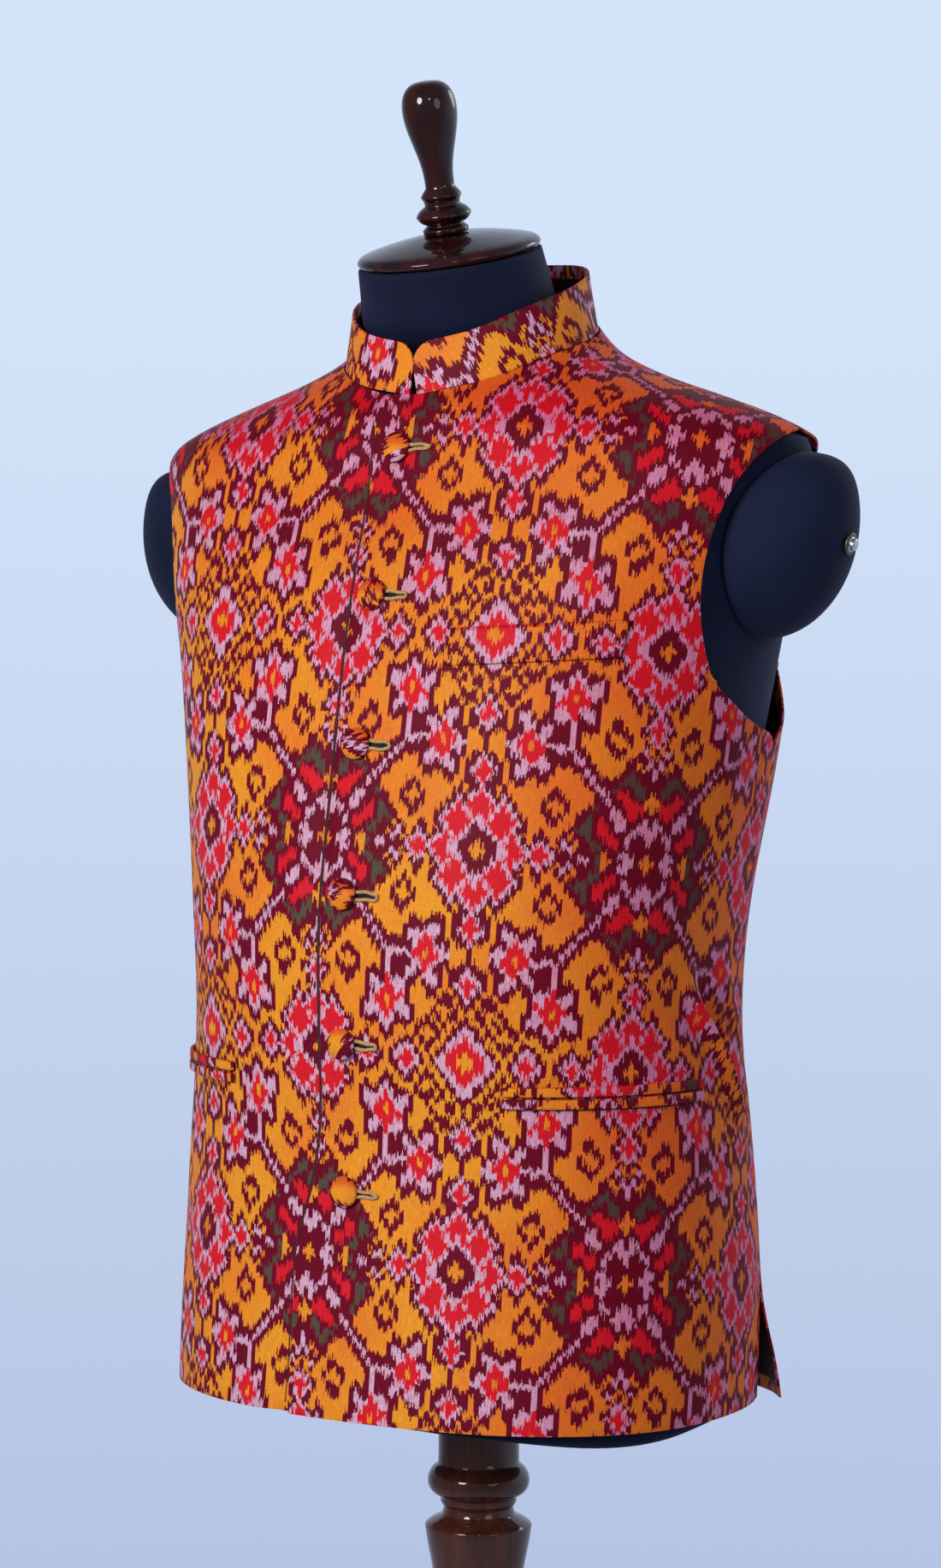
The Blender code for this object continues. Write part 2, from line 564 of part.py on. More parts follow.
def build_stand():
    lean = np.radians(NECK[-1, 4])
    axis = Vector((0, -np.sin(lean), np.cos(lean)))
    neck_top = Vector((0, NECK[-1, 1], HEM_Z + NECK[-1, 0]))
    cap_at = neck_top + axis * (GAP - CAP_PROFILE[0][0])
    turned("neck_cap", CAP_PROFILE, "mahogany", 32, facing(cap_at, axis))
    turned("finial", FINIAL_PROFILE, "mahogany", 20, facing(cap_at + axis * (CAP_PROFILE[-1][0] + GAP), axis))
    turned("pole", POLE_PROFILE, "lacquered_wood", 24)
    turned("base", BASE_PROFILE, "lacquered_wood", 40)
    for side, name in ((1, "arm_bolt_left"), (-1, "arm_bolt_right")):
        middle, fore, top, aft, low = pad_top(side)
        axis = unit(np.cross(fore - aft, top - low))
        axis *= np.sign(axis[0] * side)
        turned(name, BOLT_PROFILE, "steel", 12, facing(middle + axis * 2 * GAP, axis))


def pad_top(side):
    """The middle of an arm pad's outer face, then four points round it."""
    angles = np.array((0, 0, 0.5, 1, 1.5)) * np.pi
    reaches = (0, *[np.sin(np.pi / 10)] * 4)
    return [pad_place(side, np.array([angle]), reach, PAD_GAP + PAD_RIM + PAD_BULGE * (1 - reach ** 2.4) ** 0.5)[0]
            for angle, reach in zip(angles, reaches)]


def main():
    for item in list(bpy.data.objects):
        bpy.data.objects.remove(item)
    build_fronts()
    build_back()
    build_collar()
    build_strips()
    build_buttons()
    build_form()
    build_pads()
    build_stand()


main()
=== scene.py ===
# %% [markdown]
# A sleeveless jacket with a standing band collar, cut from ikat silk, buttoned on a limbless dress form.
# The solids that come in first are its frame: they hold the sizes and stay where they are. Every shown
# piece is a finer skin made on its own solid, so the cloth keeps the cut of the frame.

# %% Load the frame
import math

import bmesh
import bpy
import numpy as np
from mathutils import Matrix, Vector
from mathutils.bvhtree import BVHTree
from mathutils.geometry import barycentric_transform
from mathutils.kdtree import KDTree


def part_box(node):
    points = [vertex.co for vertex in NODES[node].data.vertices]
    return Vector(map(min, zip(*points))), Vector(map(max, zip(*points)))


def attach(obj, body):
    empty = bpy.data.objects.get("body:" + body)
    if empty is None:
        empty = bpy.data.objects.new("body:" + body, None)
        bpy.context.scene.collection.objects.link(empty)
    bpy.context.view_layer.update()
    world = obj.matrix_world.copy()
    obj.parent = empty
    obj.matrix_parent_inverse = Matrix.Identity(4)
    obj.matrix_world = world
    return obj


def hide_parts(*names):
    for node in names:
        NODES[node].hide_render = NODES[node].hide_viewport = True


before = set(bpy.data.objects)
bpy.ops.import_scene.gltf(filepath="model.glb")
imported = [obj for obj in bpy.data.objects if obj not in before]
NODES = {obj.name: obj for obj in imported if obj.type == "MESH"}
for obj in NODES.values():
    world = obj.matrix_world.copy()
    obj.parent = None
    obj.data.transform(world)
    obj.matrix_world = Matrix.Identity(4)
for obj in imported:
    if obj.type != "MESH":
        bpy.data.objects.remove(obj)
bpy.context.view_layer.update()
BUTTONS = [f"button_{k}" for k in range(1, 7)]
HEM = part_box("front_left")[0].z

# %% [markdown]
# The camera comes before the pieces, because each of them is judged through it. A long lens from two and
# a half metres keeps the shoulders in true proportion. Its turn is written as three directions, right, up
# and back, which are the columns of the camera's own matrix.

# %% Camera
CAMERA = {
    "spot": (1.2996, -2.1277, 0.8898),
    "round_to_left": 31.60,  # degrees, like the next two
    "down": 2.04,
    "roll": 0.303,
    "focal": 4344.4,  # in pixels, like the next one
    "long_side": 1833,
}


def in_scene(name, data):
    """A new object, put into the scene."""
    made = bpy.data.objects.new(name, data)
    bpy.context.scene.collection.objects.link(made)
    return made


def place_camera(spot, round_to_left, down, roll, focal, long_side):
    """The camera looks along y, then goes round to the wearer's left, tips down and leans over."""
    turn, tip, lean = (math.radians(x) for x in (round_to_left, down, roll))
    back = Vector((math.sin(turn) * math.cos(tip), -math.cos(turn) * math.cos(tip), math.sin(tip)))
    right = Vector((math.cos(turn), math.sin(turn), 0))
    up = back.cross(right)
    right, up = right * math.cos(lean) + up * math.sin(lean), up * math.cos(lean) - right * math.sin(lean)
    lens = bpy.data.cameras.new("studio_camera")
    lens.lens = lens.sensor_width * focal / long_side
    lens.clip_start, lens.clip_end = 0.05, 60.0
    camera = in_scene("studio_camera", lens)
    camera.matrix_world = Matrix.Translation(spot) @ Matrix((right, up, back)).transposed().to_4x4()
    bpy.context.scene.camera = camera
    print("lens:", round(lens.lens, 1), "mm")


place_camera(**CAMERA)

# %% [markdown]
# A finish is a small graph of nodes. Written as sums in Python it reads like the sum it is, so a socket is
# wrapped in a class whose operators add the Math nodes, also for 1 - mask.

# %% Sockets that do sums
class Value:
    """A socket that can be added to, folded and compared."""

    def __init__(self, graph, socket):
        self.graph, self.socket = graph, socket

    def __add__(self, other):
        return self.graph.math("ADD", self, other)

    def __sub__(self, other):
        return self.graph.math("SUBTRACT", self, other)

    def __rsub__(self, other):
        return self.graph.math("SUBTRACT", other, self)

    def __mul__(self, other):
        return self.graph.math("MULTIPLY", self, other)

    def __truediv__(self, other):
        return self.graph.math("DIVIDE", self, other)

    def __rtruediv__(self, other):
        return self.graph.math("DIVIDE", other, self)

    def __gt__(self, other):
        return self.graph.math("GREATER_THAN", self, other)

    def __lt__(self, other):
        return self.graph.math("LESS_THAN", self, other)

    __radd__, __rmul__ = __add__, __mul__

    def __abs__(self):
        return self.graph.math("ABSOLUTE", self)

    def floor(self):
        return self.graph.math("FLOOR", self)

    def part(self):
        """What is left of a number after its whole part."""
        return self.graph.math("FRACT", self)

    def sine(self):
        return self.graph.math("SINE", self)

    def ramp(self, low, high):
        """0 below low and 1 above high, eased between."""
        settings = {"interpolation_type": "SMOOTHSTEP"}
        return self.graph.node("MapRange", settings, (self, low, high, 0.0, 1.0))

# %% [markdown]
# One method makes every other kind of node: its settings are set first, then its sockets get their values
# or links. The world is such a graph too, so a finish only adds the shader to it.

# %% Nodes of a finish
SHARE, COLOUR_A, COLOUR_B, COLOUR_OUT = 0, 6, 7, 2  # sockets of a Mix node that mixes colours
NUMBER_A, NUMBER_B, NUMBER_OUT = 2, 3, 0  # and of one that mixes numbers


class Graph:
    """The nodes of a material or of the world, while they are put together."""

    def __init__(self, owner):
        owner.use_nodes = True
        self.tree = owner.node_tree

    def node(self, kind, settings=None, inputs=(), output=0):
        """One node: its settings first, then values or links for its sockets, by place or by name.
        The stops of a colour ramp are settings too, and steps makes that ramp change at once."""
        node = self.tree.nodes.new("ShaderNode" + kind)
        for name, value in (settings or {}).items():
            if name == "stops":
                stops = node.color_ramp.elements
                while len(stops) < len(value):
                    stops.new(1.0)
                for stop, (place, colour) in zip(stops, value):
                    stop.position, stop.color = place, (*colour, 1.0)
            elif name == "steps":
                node.color_ramp.interpolation = "CONSTANT"
            else:
                setattr(node, name, value)
        pairs = inputs.items() if isinstance(inputs, dict) else enumerate(inputs)
        for key, value in pairs:
            self.join(value, node.inputs[key])
        return Value(self, node.outputs[output])

    def join(self, value, socket):
        if isinstance(value, Value):
            self.tree.links.new(value.socket, socket)
        elif socket.type == "RGBA":
            socket.default_value = (*value, 1.0)
        else:
            socket.default_value = value

    def math(self, operation, *values):
        return self.node("Math", {"operation": operation}, values)

    def mix(self, share, first, second, blend="MIX"):
        """Two colours, mixed."""
        settings = {"data_type": "RGBA", "blend_type": blend}
        return self.node("Mix", settings, {SHARE: share, COLOUR_A: first, COLOUR_B: second}, COLOUR_OUT)

    def choose(self, share, first, second):
        """Two numbers, mixed."""
        inputs = {SHARE: share, NUMBER_A: first, NUMBER_B: second}
        return self.node("Mix", {"data_type": "FLOAT"}, inputs, NUMBER_OUT)

    def noise(self, place, scale=1.0, detail=0.0):
        return self.node("TexNoise", None, {"Vector": place, "Scale": scale, "Detail": detail})

    def vector(self, x, y, z=0.0):
        return self.node("CombineXYZ", None, (x, y, z))

    def along(self, place, output):
        """One part, 0, 1 or 2, of a place."""
        return self.node("SeparateXYZ", None, (place,), output)

    def place(self):
        """The place of a point on the object, in metres."""
        return self.node("TexCoord", None, (), "Object")

    def bump(self, height, distance, strength):
        return self.node("Bump", None, {"Height": height, "Distance": distance, "Strength": strength})


class Finish(Graph):
    """A new material with the shader that its tree starts with."""

    def __init__(self, name):
        self.material = bpy.data.materials.new(name)
        super().__init__(self.material)
        self.shader = self.tree.nodes["Principled BSDF"]

    def wear(self, **sockets):
        """Values or links for the shader's own sockets; an underscore stands for a space."""
        for name, value in sockets.items():
            self.join(value, self.shader.inputs[name.replace("_", " ")])

# %% [markdown]
# Ikat is dyed before it is woven. Bundles of warp threads are bound and dipped until the thread itself
# holds the figure. The figure is charted below as the dyer measures it, one line for each of the 31
# bundles in half of the repeat, from the middle of the great medallion outwards. Down a bundle each word
# is a dye and the mark where it ends: M maroon, O orange, R red, W the pinkish white, G olive, and 64
# marks to half of the repeat. The weaver mirrors the quarter across and down.

# %% The charted quarter
CHART = """
O3 M5.4 W11 M14.7 O21.2 M25 W29.3 M31.3 O33 M35.7 W37.6 R44.5 W47 R53 W57 M61 O64
O1 M7.5 W13.7 M16.5 O19.3 M28.7 W31.4 M32.7 O36 M36.5 W39.3 R41.5 W43.8 M46 W48.3 R55 W57.5 M62.8 O64
M9.5 W12 M14.5 R18.3 M19 G23.5 M27.3 O29.6 M32 W34.5 M36 O38 M39.5 W41.7 M44.3 O46.3 M48 W50.3 R52.5 W55 R57.5 W60 M64
W1.3 M7 W9.7 M12.7 R19 M20 G25 M28.5 O31.2 M33.3 O38.5 M41 O47.5 M50 W52.5 R59.5 W62 M64
W3.8 M5 W8.6 M13.5 R20 M23 G27.5 M31 O44.6 M47.9 W50 R61 W64
M0.6 W3.2 M9.5 W13.5 M16 R20.8 M22.5 G26 M30 O34.9 M38.2 O47 M50 W52.3 R58.5 W61 R62.5 W64
M3.5 R7.5 M9.5 W15.5 M18 R21 M22 G24 M26.5 O32 M34.3 O37.3 M40 O50 M52 W54 R56.7 W59 R64
O1 M4 R8.5 M12 W16 M20.3 G22.3 M25 O30.7 M33.4 O38.5 M42.5 O52.5 M54 W56.5 M59 W61.3 R64
O3.3 M6 R11.5 M16.7 W19.3 M24 O32.5 M35 O38.3 M42 O54 M57.4 O60 M61.2 W63.2 R64
G1.5 M2.5 G5.5 M7 R12.5 M18.7 W21.2 M24 O34 M38.2 O60 M63.2 W64
M3.2 G6.5 M14.7 G16.3 M20.8 W22.9 M26 O47.2 M53.5 O58.5 M61 W63.2 R64
W1.2 M6 G13 M15.7 O20.4 M22.4 W24.8 M28 O38.3 M48 W52.3 M55 O57.2 M59 W61.3 R64
W1.2 M6.5 G10.5 M14 O22 M24.4 W27 M30 O37.5 M39.8 W44 M46 W52.4 M54.8 O59 M61 W63.2 R64
M2.7 O4.7 M7.5 G9 M12 O23.8 M26.8 W29.4 M32.3 O37.3 M40.5 W45.5 R48.3 W51.5 M54.5 O60 M63 W64
M1.2 W3.3 M5 O7.2 M10 O25.8 M28.8 W31.2 M41.8 W43.5 R50.5 W54 M57.3 O62 M64
M2 W5 M7.2 O12.7 M16.6 O27.4 M31 W39.8 R46 O48.7 R53 W56 M59 O64
M1 O2.8 M5 O10.8 M13 O16 M19 O27 M30.7 W33 M40 W42.5 R50.5 W54 M57.5 O62 M64
W1.4 M2.5 O8.3 M11.7 O17.3 M20 O27.5 M30.6 W33.2 M39.3 W45 R47.5 W50 M54.8 O59.5 M62.3 W64
R1.3 W3.3 M5 O10.3 M13.7 O16.2 M18.7 O23.5 M31.2 W33.3 M40 W44 R46 W51.8 M54.3 O58.2 M60 W62.7 R64
R3 W5 M8 O12.8 M16.3 O21 M24.5 W28.2 M31.2 W33.7 M36 W39.5 M48 W52.3 M54.2 O57 M58.5 W61 R64
R1.3 W3.3 M6 O21.5 M24.8 W30 R34 W38.5 M42.3 O47.3 M52.6 O57.2 M59.8 W62.2 R64
W1.2 M2.5 O23 M25.8 W28 R34.5 W36.5 M39.3 O52.7 M56 O59.8 M62.4 W64
R0.8 W2.8 M5 O6.5 M10 O22 M24.8 W26.3 R31 O33.5 R37.7 W39.8 M42 O51.7 M54 O56.5 M59.2 O62.6 M64
R2.7 W5 M7.5 W10 M12 O20 M23 W28 R35.8 W41.4 M44.8 O50 M53.2 O58.2 M61.2 O64
R5 W7.3 R10 W12 M14.5 O19.7 M22.7 W26.2 M28.7 W30.8 R33.8 W35.5 M38 W41.8 M44.7 O47.8 M49.8 O52.5 M54.7 O57 M59.3 O62.7 M64
W1.5 R3 W5.5 R11.7 W14 M17 O21.5 M28.5 W34 M42 O45 M47.7 O50 M52.3 O54.7 M57 O60.2 M62.4 W64
W3 R14 W16.2 M18.8 O27.3 M30.7 W33 M35.8 O43 M46.5 O52 M54.8 O58.5 M60.6 W64
M2 W4.5 R11.5 W14 M16.4 O19.5 M26.5 O36 M41.7 O44 M46.9 O48.7 M51.6 O55 M57.5 W61 R64
M4 W6.5 R9 W11.5 R13.7 W16 M22.6 W24.7 M28 O35.5 M39.3 W41.7 M43.8 O47 M51 O53.5 M56.6 W60 R64
O1.2 M6.5 W9 R15.7 W18 M20 W22 R24.5 W27 M28.5 O34.5 M37 W39.2 R41.7 W44.2 M46.5 O51.5 M53.7 W58 R62.6 O64
O3 M7 W11 R17.5 W19.5 R26.8 W29 M35.7 W37.8 R43.8 W46 M48.3 O49.7 M52.7 W56.3 R61.3 O64
""".strip().split("\n")
MARKS = 64
BLEED = 0.28  # marks that the maroon creeps under the bindings at each end
DYES = {  # in linear light
    "M": (0.145, 0.0035, 0.018),
    "O": (0.80, 0.232, 0.023),
    "R": (0.66, 0.013, 0.023),
    "W": (0.63, 0.39, 0.52),
    "G": (0.088, 0.068, 0.043),
}
LETTERS = "MGRWO"
STEP = 1 / (len(LETTERS) - 1)  # from the number of one dye to that of the next
REPEAT = (0.219, 0.269)  # across and down
BUNDLE = REPEAT[0] / 2 / (len(CHART) - 1)
print("chart:", len(CHART), "bundles, each", round(BUNDLE * 1000, 2), "mm wide")

# %% [markdown]
# A chart of lengths becomes a shader by bundles. One colour ramp with hard steps holds one bundle, as a
# number for each dye, and a chain of mixes picks the bundle. On the loom neighbouring threads never lie
# quite true, so the figure is shifted along the thread only: a little for each bundle, more for each
# thread in it. That makes the fine upright flames at every end, and leaves the upright edges straight.

# %% Dye
DOUBLE, SINGLE = 0.00091, 0.00045  # widths of a doubled thread and of a single one
DRIFTS = ((0.034, 0.0046), (0.0080, 0.0098), (0.0045, 0.0044))  # length and reach: bundle, double, single
UNLIKE = 7.31  # steps between neighbours in the noise, so that they have nothing in common
SLACK = 0.1  # less than half of a STEP


def dyed_thread(finish, across, down):
    """The dye at a place on the flat cloth, as a number: one STEP for each of LETTERS."""
    own = (across / BUNDLE + 0.5).floor()
    threads = (own, (across / DOUBLE).floor(), (across / SINGLE).floor())
    for thread, (length, reach) in zip(threads, DRIFTS):
        shift = finish.noise(finish.vector(thread * UNLIKE, down / length))
        down = down + (shift - 0.5) * reach
    bundle = abs((own * (BUNDLE / REPEAT[0]) + 0.5).part() - 0.5) * (2.0 * (len(CHART) - 1))
    mark = abs((down / REPEAT[1] + 0.5).part() - 0.5) * 2.0
    dye = None
    for k, lengths in enumerate(CHART):
        stops, start, before = [], 0.0, ""
        for word in lengths.split():
            creep = BLEED * ((before == "M") - (word[0] == "M")) if start else 0.0
            stops.append(((start + creep) / MARKS, (LETTERS.index(word[0]) * STEP,) * 3))
            start, before = float(word[1:]), word[0]
        step = finish.node("ValToRGB", {"steps": True, "stops": stops}, (mark,))
        dye = step if dye is None else finish.choose(bundle > k - 0.5, dye, step)
    return dye


def dyed_with(dye, letter):
    """1 where the thread holds this dye, and 0 elsewhere."""
    number = LETTERS.index(letter) * STEP
    return (dye > number - SLACK) * (dye < number + SLACK)

# %% [markdown]
# One more ramp turns the number of the dye into its colour. What the loom and the needle add comes on top:
# clouds in the orange and single threads that differ, with painted sheen and shade that bring out the red
# weft on the shoulders and the wearer's left side.

# %% Weave
CLOUDS = 9.0  # to a metre of silk
YELLOW, BURNT = (1.0, 1.30, 0.95), (0.97, 0.82, 1.0)  # what the orange is multiplied by
# painted sheen and shade: where the red weft is painted in, every colour is multiplied by this
RED_WEFT_SHEEN_AND_SHADE = (0.80, 0.36, 0.50)  # and all colours, where the weft shows
SHEEN_SHADE_UPWARDS = (0.05, 0.50)  # how far a face looks up where the weft starts to show, and where it shows in full
SHEEN_SHADE_LEFTWARDS = (0.07, 0.19)  # the same by the distance to the wearer's left, in metres
WARP, WEFT = (1400.0, 130.0), (190.0, 1100.0)  # threads to a metre, across and down


def ikat_silk(name):
    """A finish with nothing on it yet, the colour of the silk and the relief of its threads."""
    finish = Finish(name)
    flat = finish.node("UVMap", {"uv_map": "cloth"})
    across, down = finish.along(flat, 0), finish.along(flat, 1)
    dye = dyed_thread(finish, across, down)
    colours = [(max(k * STEP - SLACK, 0.0), DYES[letter]) for k, letter in enumerate(LETTERS)]
    colour = finish.node("ValToRGB", {"steps": True, "stops": colours}, (dye,))
    # orange runs from a clear yellow to a burnt tone, in clouds as wide as a hand
    clouds = finish.noise(finish.vector(across, down), CLOUDS, 2.0).ramp(0.38, 0.66)
    tone = finish.mix(clouds, YELLOW, BURNT)
    colour = finish.mix(dyed_with(dye, "O") * 0.9, colour, tone, "MULTIPLY")
    # painted sheen and shade: the red weft is painted in on faces that look up and on the wearer's left side
    sheen_shade_upwards = finish.along(finish.node("NewGeometry", None, (), "Normal"), 2).ramp(*SHEEN_SHADE_UPWARDS)
    sheen_shade_leftwards = finish.along(finish.place(), 0).ramp(*SHEEN_SHADE_LEFTWARDS) * 0.8
    colour = finish.mix(finish.math("MAXIMUM", sheen_shade_upwards, sheen_shade_leftwards), colour, RED_WEFT_SHEEN_AND_SHADE, "MULTIPLY")
    # white picks up red from its neighbours, thread by thread
    single = finish.noise(finish.vector((across / SINGLE).floor() * 3.7, down / 0.006), detail=1.0)
    stained = dyed_with(dye, "W") * single.ramp(0.50, 0.66) * 0.55
    colour = finish.mix(stained, colour, DYES["R"])
    # each thread is a little lighter or darker than the next
    warp = finish.noise(finish.vector(across * WARP[0], down * WARP[1]), detail=1.0)
    weft = finish.noise(finish.vector(across * WEFT[0], down * WEFT[1]), detail=1.0)
    light = 0.52 + warp * 0.58 + weft * 0.40
    colour = finish.mix(1.0, colour, finish.vector(light, light, light), "MULTIPLY")
    return finish, colour, warp * 0.6 + weft * 0.4

# %% [markdown]
# Each cut piece of cloth is a closed wall in the frame. Its finer skin starts from the outer face of that
# wall: the faces that a path can reach without crossing a hard edge. The triangles are joined back to
# quads, because a subdivision surface is only smooth over quads.

# %% Take the outer face of a wall
HARD = math.radians(45)  # a path along a wall stops at an edge that turns further than this


def merged(node):
    """A copy of a solid with its corners merged."""
    bm = bmesh.new()
    bm.from_mesh(NODES[node].data)
    bmesh.ops.remove_doubles(bm, verts=bm.verts, dist=2e-5)
    return bm


def quads(bm):
    """Joins triangles back to quads, across all that may part them."""
    limits = {"angle_face_threshold": math.radians(40), "angle_shape_threshold": math.radians(50)}
    parting = dict.fromkeys(("cmp_seam", "cmp_sharp", "cmp_uvs", "cmp_vcols", "cmp_materials"), False)
    bmesh.ops.join_triangles(bm, faces=bm.faces, **limits, **parting)


def smooth_patches(bm):
    """The faces in groups that hard edges part."""
    patches, seen = [], set()
    for first in bm.faces:
        if first in seen:
            continue
        patch, front = [], [first]
        seen.add(first)
        while front:
            face = front.pop()
            patch.append(face)
            for edge in face.edges:
                if len(edge.link_faces) != 2 or edge.calc_face_angle(math.pi) > HARD:
                    continue
                for other in edge.link_faces:
                    if other not in seen:
                        seen.add(other)
                        front.append(other)
        patches.append(patch)
    return patches


def outwardness(patch):
    """The area that looks away from the body's axis, less the area that looks at it."""
    total = 0.0
    for face in patch:
        away = face.calc_center_median()
        away.z = 0
        total += face.calc_area() * face.normal.dot(away.normalized())
    return total


def outer_face(node):
    """The outer face of a wall, in quads."""
    bm = merged(node)
    keep = set(max(smooth_patches(bm), key=outwardness))
    bmesh.ops.delete(bm, geom=[face for face in bm.faces if face not in keep], context="FACES")
    quads(bm)
    return bm

# %% [markdown]
# Cloth is cut flat, and the figure runs straight on the flat cut. So each skin is unrolled with the least
# stretch, and the unrolled copy is turned until its grain hangs straight, in real metres. That flat copy
# is the UV map called cloth, and all that is woven reads it.

# %% Unroll a skin to its flat cut
def points_of(mesh):
    flat = np.empty(len(mesh.vertices) * 3)
    mesh.vertices.foreach_get("co", flat)
    return flat.reshape(-1, 3)


def unroll(made, picked, aim, slant):
    """A UV map in metres; the picked points lie on it as near as can be to where aim puts them.
    slant leans the columns and the rows, as on a length of silk that was pulled a little off its grain.
    Gives the size and the area of the flat cut."""
    mesh = made.data
    mesh.uv_layers.new(name="cloth")
    bpy.ops.object.select_all(action="DESELECT")
    bpy.context.view_layer.objects.active = made
    made.select_set(True)
    bpy.ops.object.mode_set(mode="EDIT")
    bpy.ops.mesh.select_all(action="SELECT")
    bpy.ops.uv.unwrap(method="ANGLE_BASED", margin=0.0)
    bpy.ops.object.mode_set(mode="OBJECT")
    made.select_set(False)
    corners = np.empty(len(mesh.loops) * 2)
    mesh.uv_layers["cloth"].data.foreach_get("uv", corners)
    corners = corners.reshape(-1, 2)  # a row for each corner of a face
    owners = np.empty(len(mesh.loops), int)
    mesh.loops.foreach_get("vertex_index", owners)
    flat = np.zeros((len(mesh.vertices), 2))
    flat[owners] = corners
    area = 0.0
    for face in mesh.polygons:
        around = flat[list(face.vertices)]
        area += abs(np.cross(around - around[0], np.roll(around, -1, 0) - around[0]).sum()) / 2
    real_area = sum(face.area for face in mesh.polygons)
    flat *= math.sqrt(real_area / area)
    places = points_of(mesh)
    chosen = np.array([bool(picked(p)) for p in places])
    target = np.array([aim(p) for p in places[chosen]])
    source = flat[chosen]
    # the turn that brings the picked points nearest to their aims
    spread = (target - target.mean(0)).T @ (source - source.mean(0))
    left, _, right = np.linalg.svd(spread)
    flat = (flat - source.mean(0)) @ (left @ right).T + target.mean(0)
    flat = flat @ np.array(((1.0, -slant[1]), (slant[0], 1.0)))
    mesh.uv_layers["cloth"].data.foreach_set("uv", flat[owners].ravel())
    size = flat.max(0) - flat.min(0)
    print(made.name, "cut", [round(x, 3) for x in size], "area", round(real_area, 4))
    return size, real_area

# %% [markdown]
# A jacket is never as smooth as its pattern. Soft troughs and ridges are pressed into each skin along its
# own flat cut: a line from one place to another, deepest in its middle and gone at its ends. Each one has
# its own length, width and depth, in metres; a depth below zero is a trough.

# %% Press soft folds
FOLD_ENDS = (0.02, 0.98)
FOLD_BLUNTNESS = 0.6  # below 1 a fold keeps its depth for longer


def flat_points(mesh):
    """The place of each point on the flat cut."""
    flat = np.zeros((len(mesh.vertices), 2))
    layer = mesh.uv_layers["cloth"].data
    for loop in mesh.loops:
        flat[loop.vertex_index] = layer[loop.index].uv
    return flat


def press(made, folds):
    """Moves each point along its normal by the sum of all folds that reach it."""
    mesh = made.data
    flat, places = flat_points(mesh), points_of(mesh)
    rise = np.zeros(len(places))
    for across, down, across_end, down_end, width, depth in folds:
        start, run = np.array((across, down)), np.array((across_end - across, down_end - down))
        share = np.clip((flat - start) @ run / (run @ run), 0, 1)
        off = np.linalg.norm(flat - start - share[:, None] * run, axis=1)
        swell = np.sin(np.pi * np.clip(share, *FOLD_ENDS)) ** FOLD_BLUNTNESS
        rise += depth * np.exp(-((off / width) ** 2)) * swell
    normals = np.array([vertex.normal for vertex in mesh.vertices])
    mesh.vertices.foreach_set("co", (places + normals * rise[:, None]).ravel())
    mesh.update()

# %% [markdown]
# A hem of the silk is turned in along every edge of the lining. Its finish has to know how far a point is
# from the edge of the cut, so that is written on the points while the skin still has an open edge.

# %% Measure from the edges
def mark_edges(made):
    """An attribute with each point's distance from the edge of the cut."""
    mesh = made.data
    used = {}
    for face in mesh.polygons:
        for key in face.edge_keys:
            used[key] = used.get(key, 0) + 1
    rim = sorted({point for key, count in used.items() if count == 1 for point in key})
    tree = KDTree(len(rim))
    for k, point in enumerate(rim):
        tree.insert(mesh.vertices[point].co, k)
    tree.balance()
    layer = mesh.attributes.new("edge", "FLOAT", "POINT")
    layer.data.foreach_set("value", [tree.find(vertex.co)[2] for vertex in mesh.vertices])

# %% [markdown]
# A modifier is applied at once here, so that the next step measures and moves the real points.

# %% Make an object and apply its modifiers
def as_object(bm, name):
    mesh = bpy.data.meshes.new(name)
    bm.to_mesh(mesh)
    bm.free()
    return in_scene(name, mesh)


def shown_mesh(made):
    """A new mesh of an object as its modifiers or its curve show it."""
    graph = bpy.context.evaluated_depsgraph_get()
    return bpy.data.meshes.new_from_object(made.evaluated_get(graph), depsgraph=graph)


def settle(made):
    """Applies an object's modifiers."""
    mesh = shown_mesh(made)
    made.modifiers.clear()
    old, made.data = made.data, mesh
    bpy.data.meshes.remove(old)
    mesh.name = made.name


def modify(made, kind, **settings):
    modifier = made.modifiers.new(kind.lower(), kind)
    for name, value in settings.items():
        setattr(modifier, name, value)


def subdivide(made, levels, **settings):
    modify(made, "SUBSURF", levels=levels, render_levels=levels, **settings)
    settle(made)

# %% [markdown]
# The silk is fused to a canvas and lined, so an edge is about a millimetre and a half thick and turns over
# in a small roll. Solidify gives the wall inwards and puts the lining on its inner face, and a bevel rolls
# the edge. The lining is a plain dark satin, with a strip of the silk turned in along every edge.

# %% Silk and lining
LINING_COLOUR = (0.030, 0.004, 0.011)
TURN_IN = 0.009
THICKNESS, ROLL = 0.0015, 0.0005


def silk_finish(name, turn_in=None):
    """The silk; where turn_in is given, the lining lies further than that from every edge."""
    finish, colour, threads = ikat_silk(name)
    if turn_in is not None:
        edge = finish.node("Attribute", {"attribute_name": "edge"}, (), "Fac")
        colour = finish.mix(edge > turn_in, colour, LINING_COLOUR)
    rough = 0.50 + (threads - 0.5) * 0.25
    relief = finish.bump(threads, 0.00022, 0.8)
    finish.wear(Base_Color=colour, Roughness=rough, Normal=relief, Sheen_Weight=0.02, Sheen_Roughness=0.35,
                Sheen_Tint=(1.0, 0.30, 0.30), Specular_IOR_Level=0.05)
    return finish.material


SILK = silk_finish("ikat_silk")
LINING = silk_finish("lining_and_turnings", TURN_IN)
print("silk:", len(SILK.node_tree.nodes), "nodes")


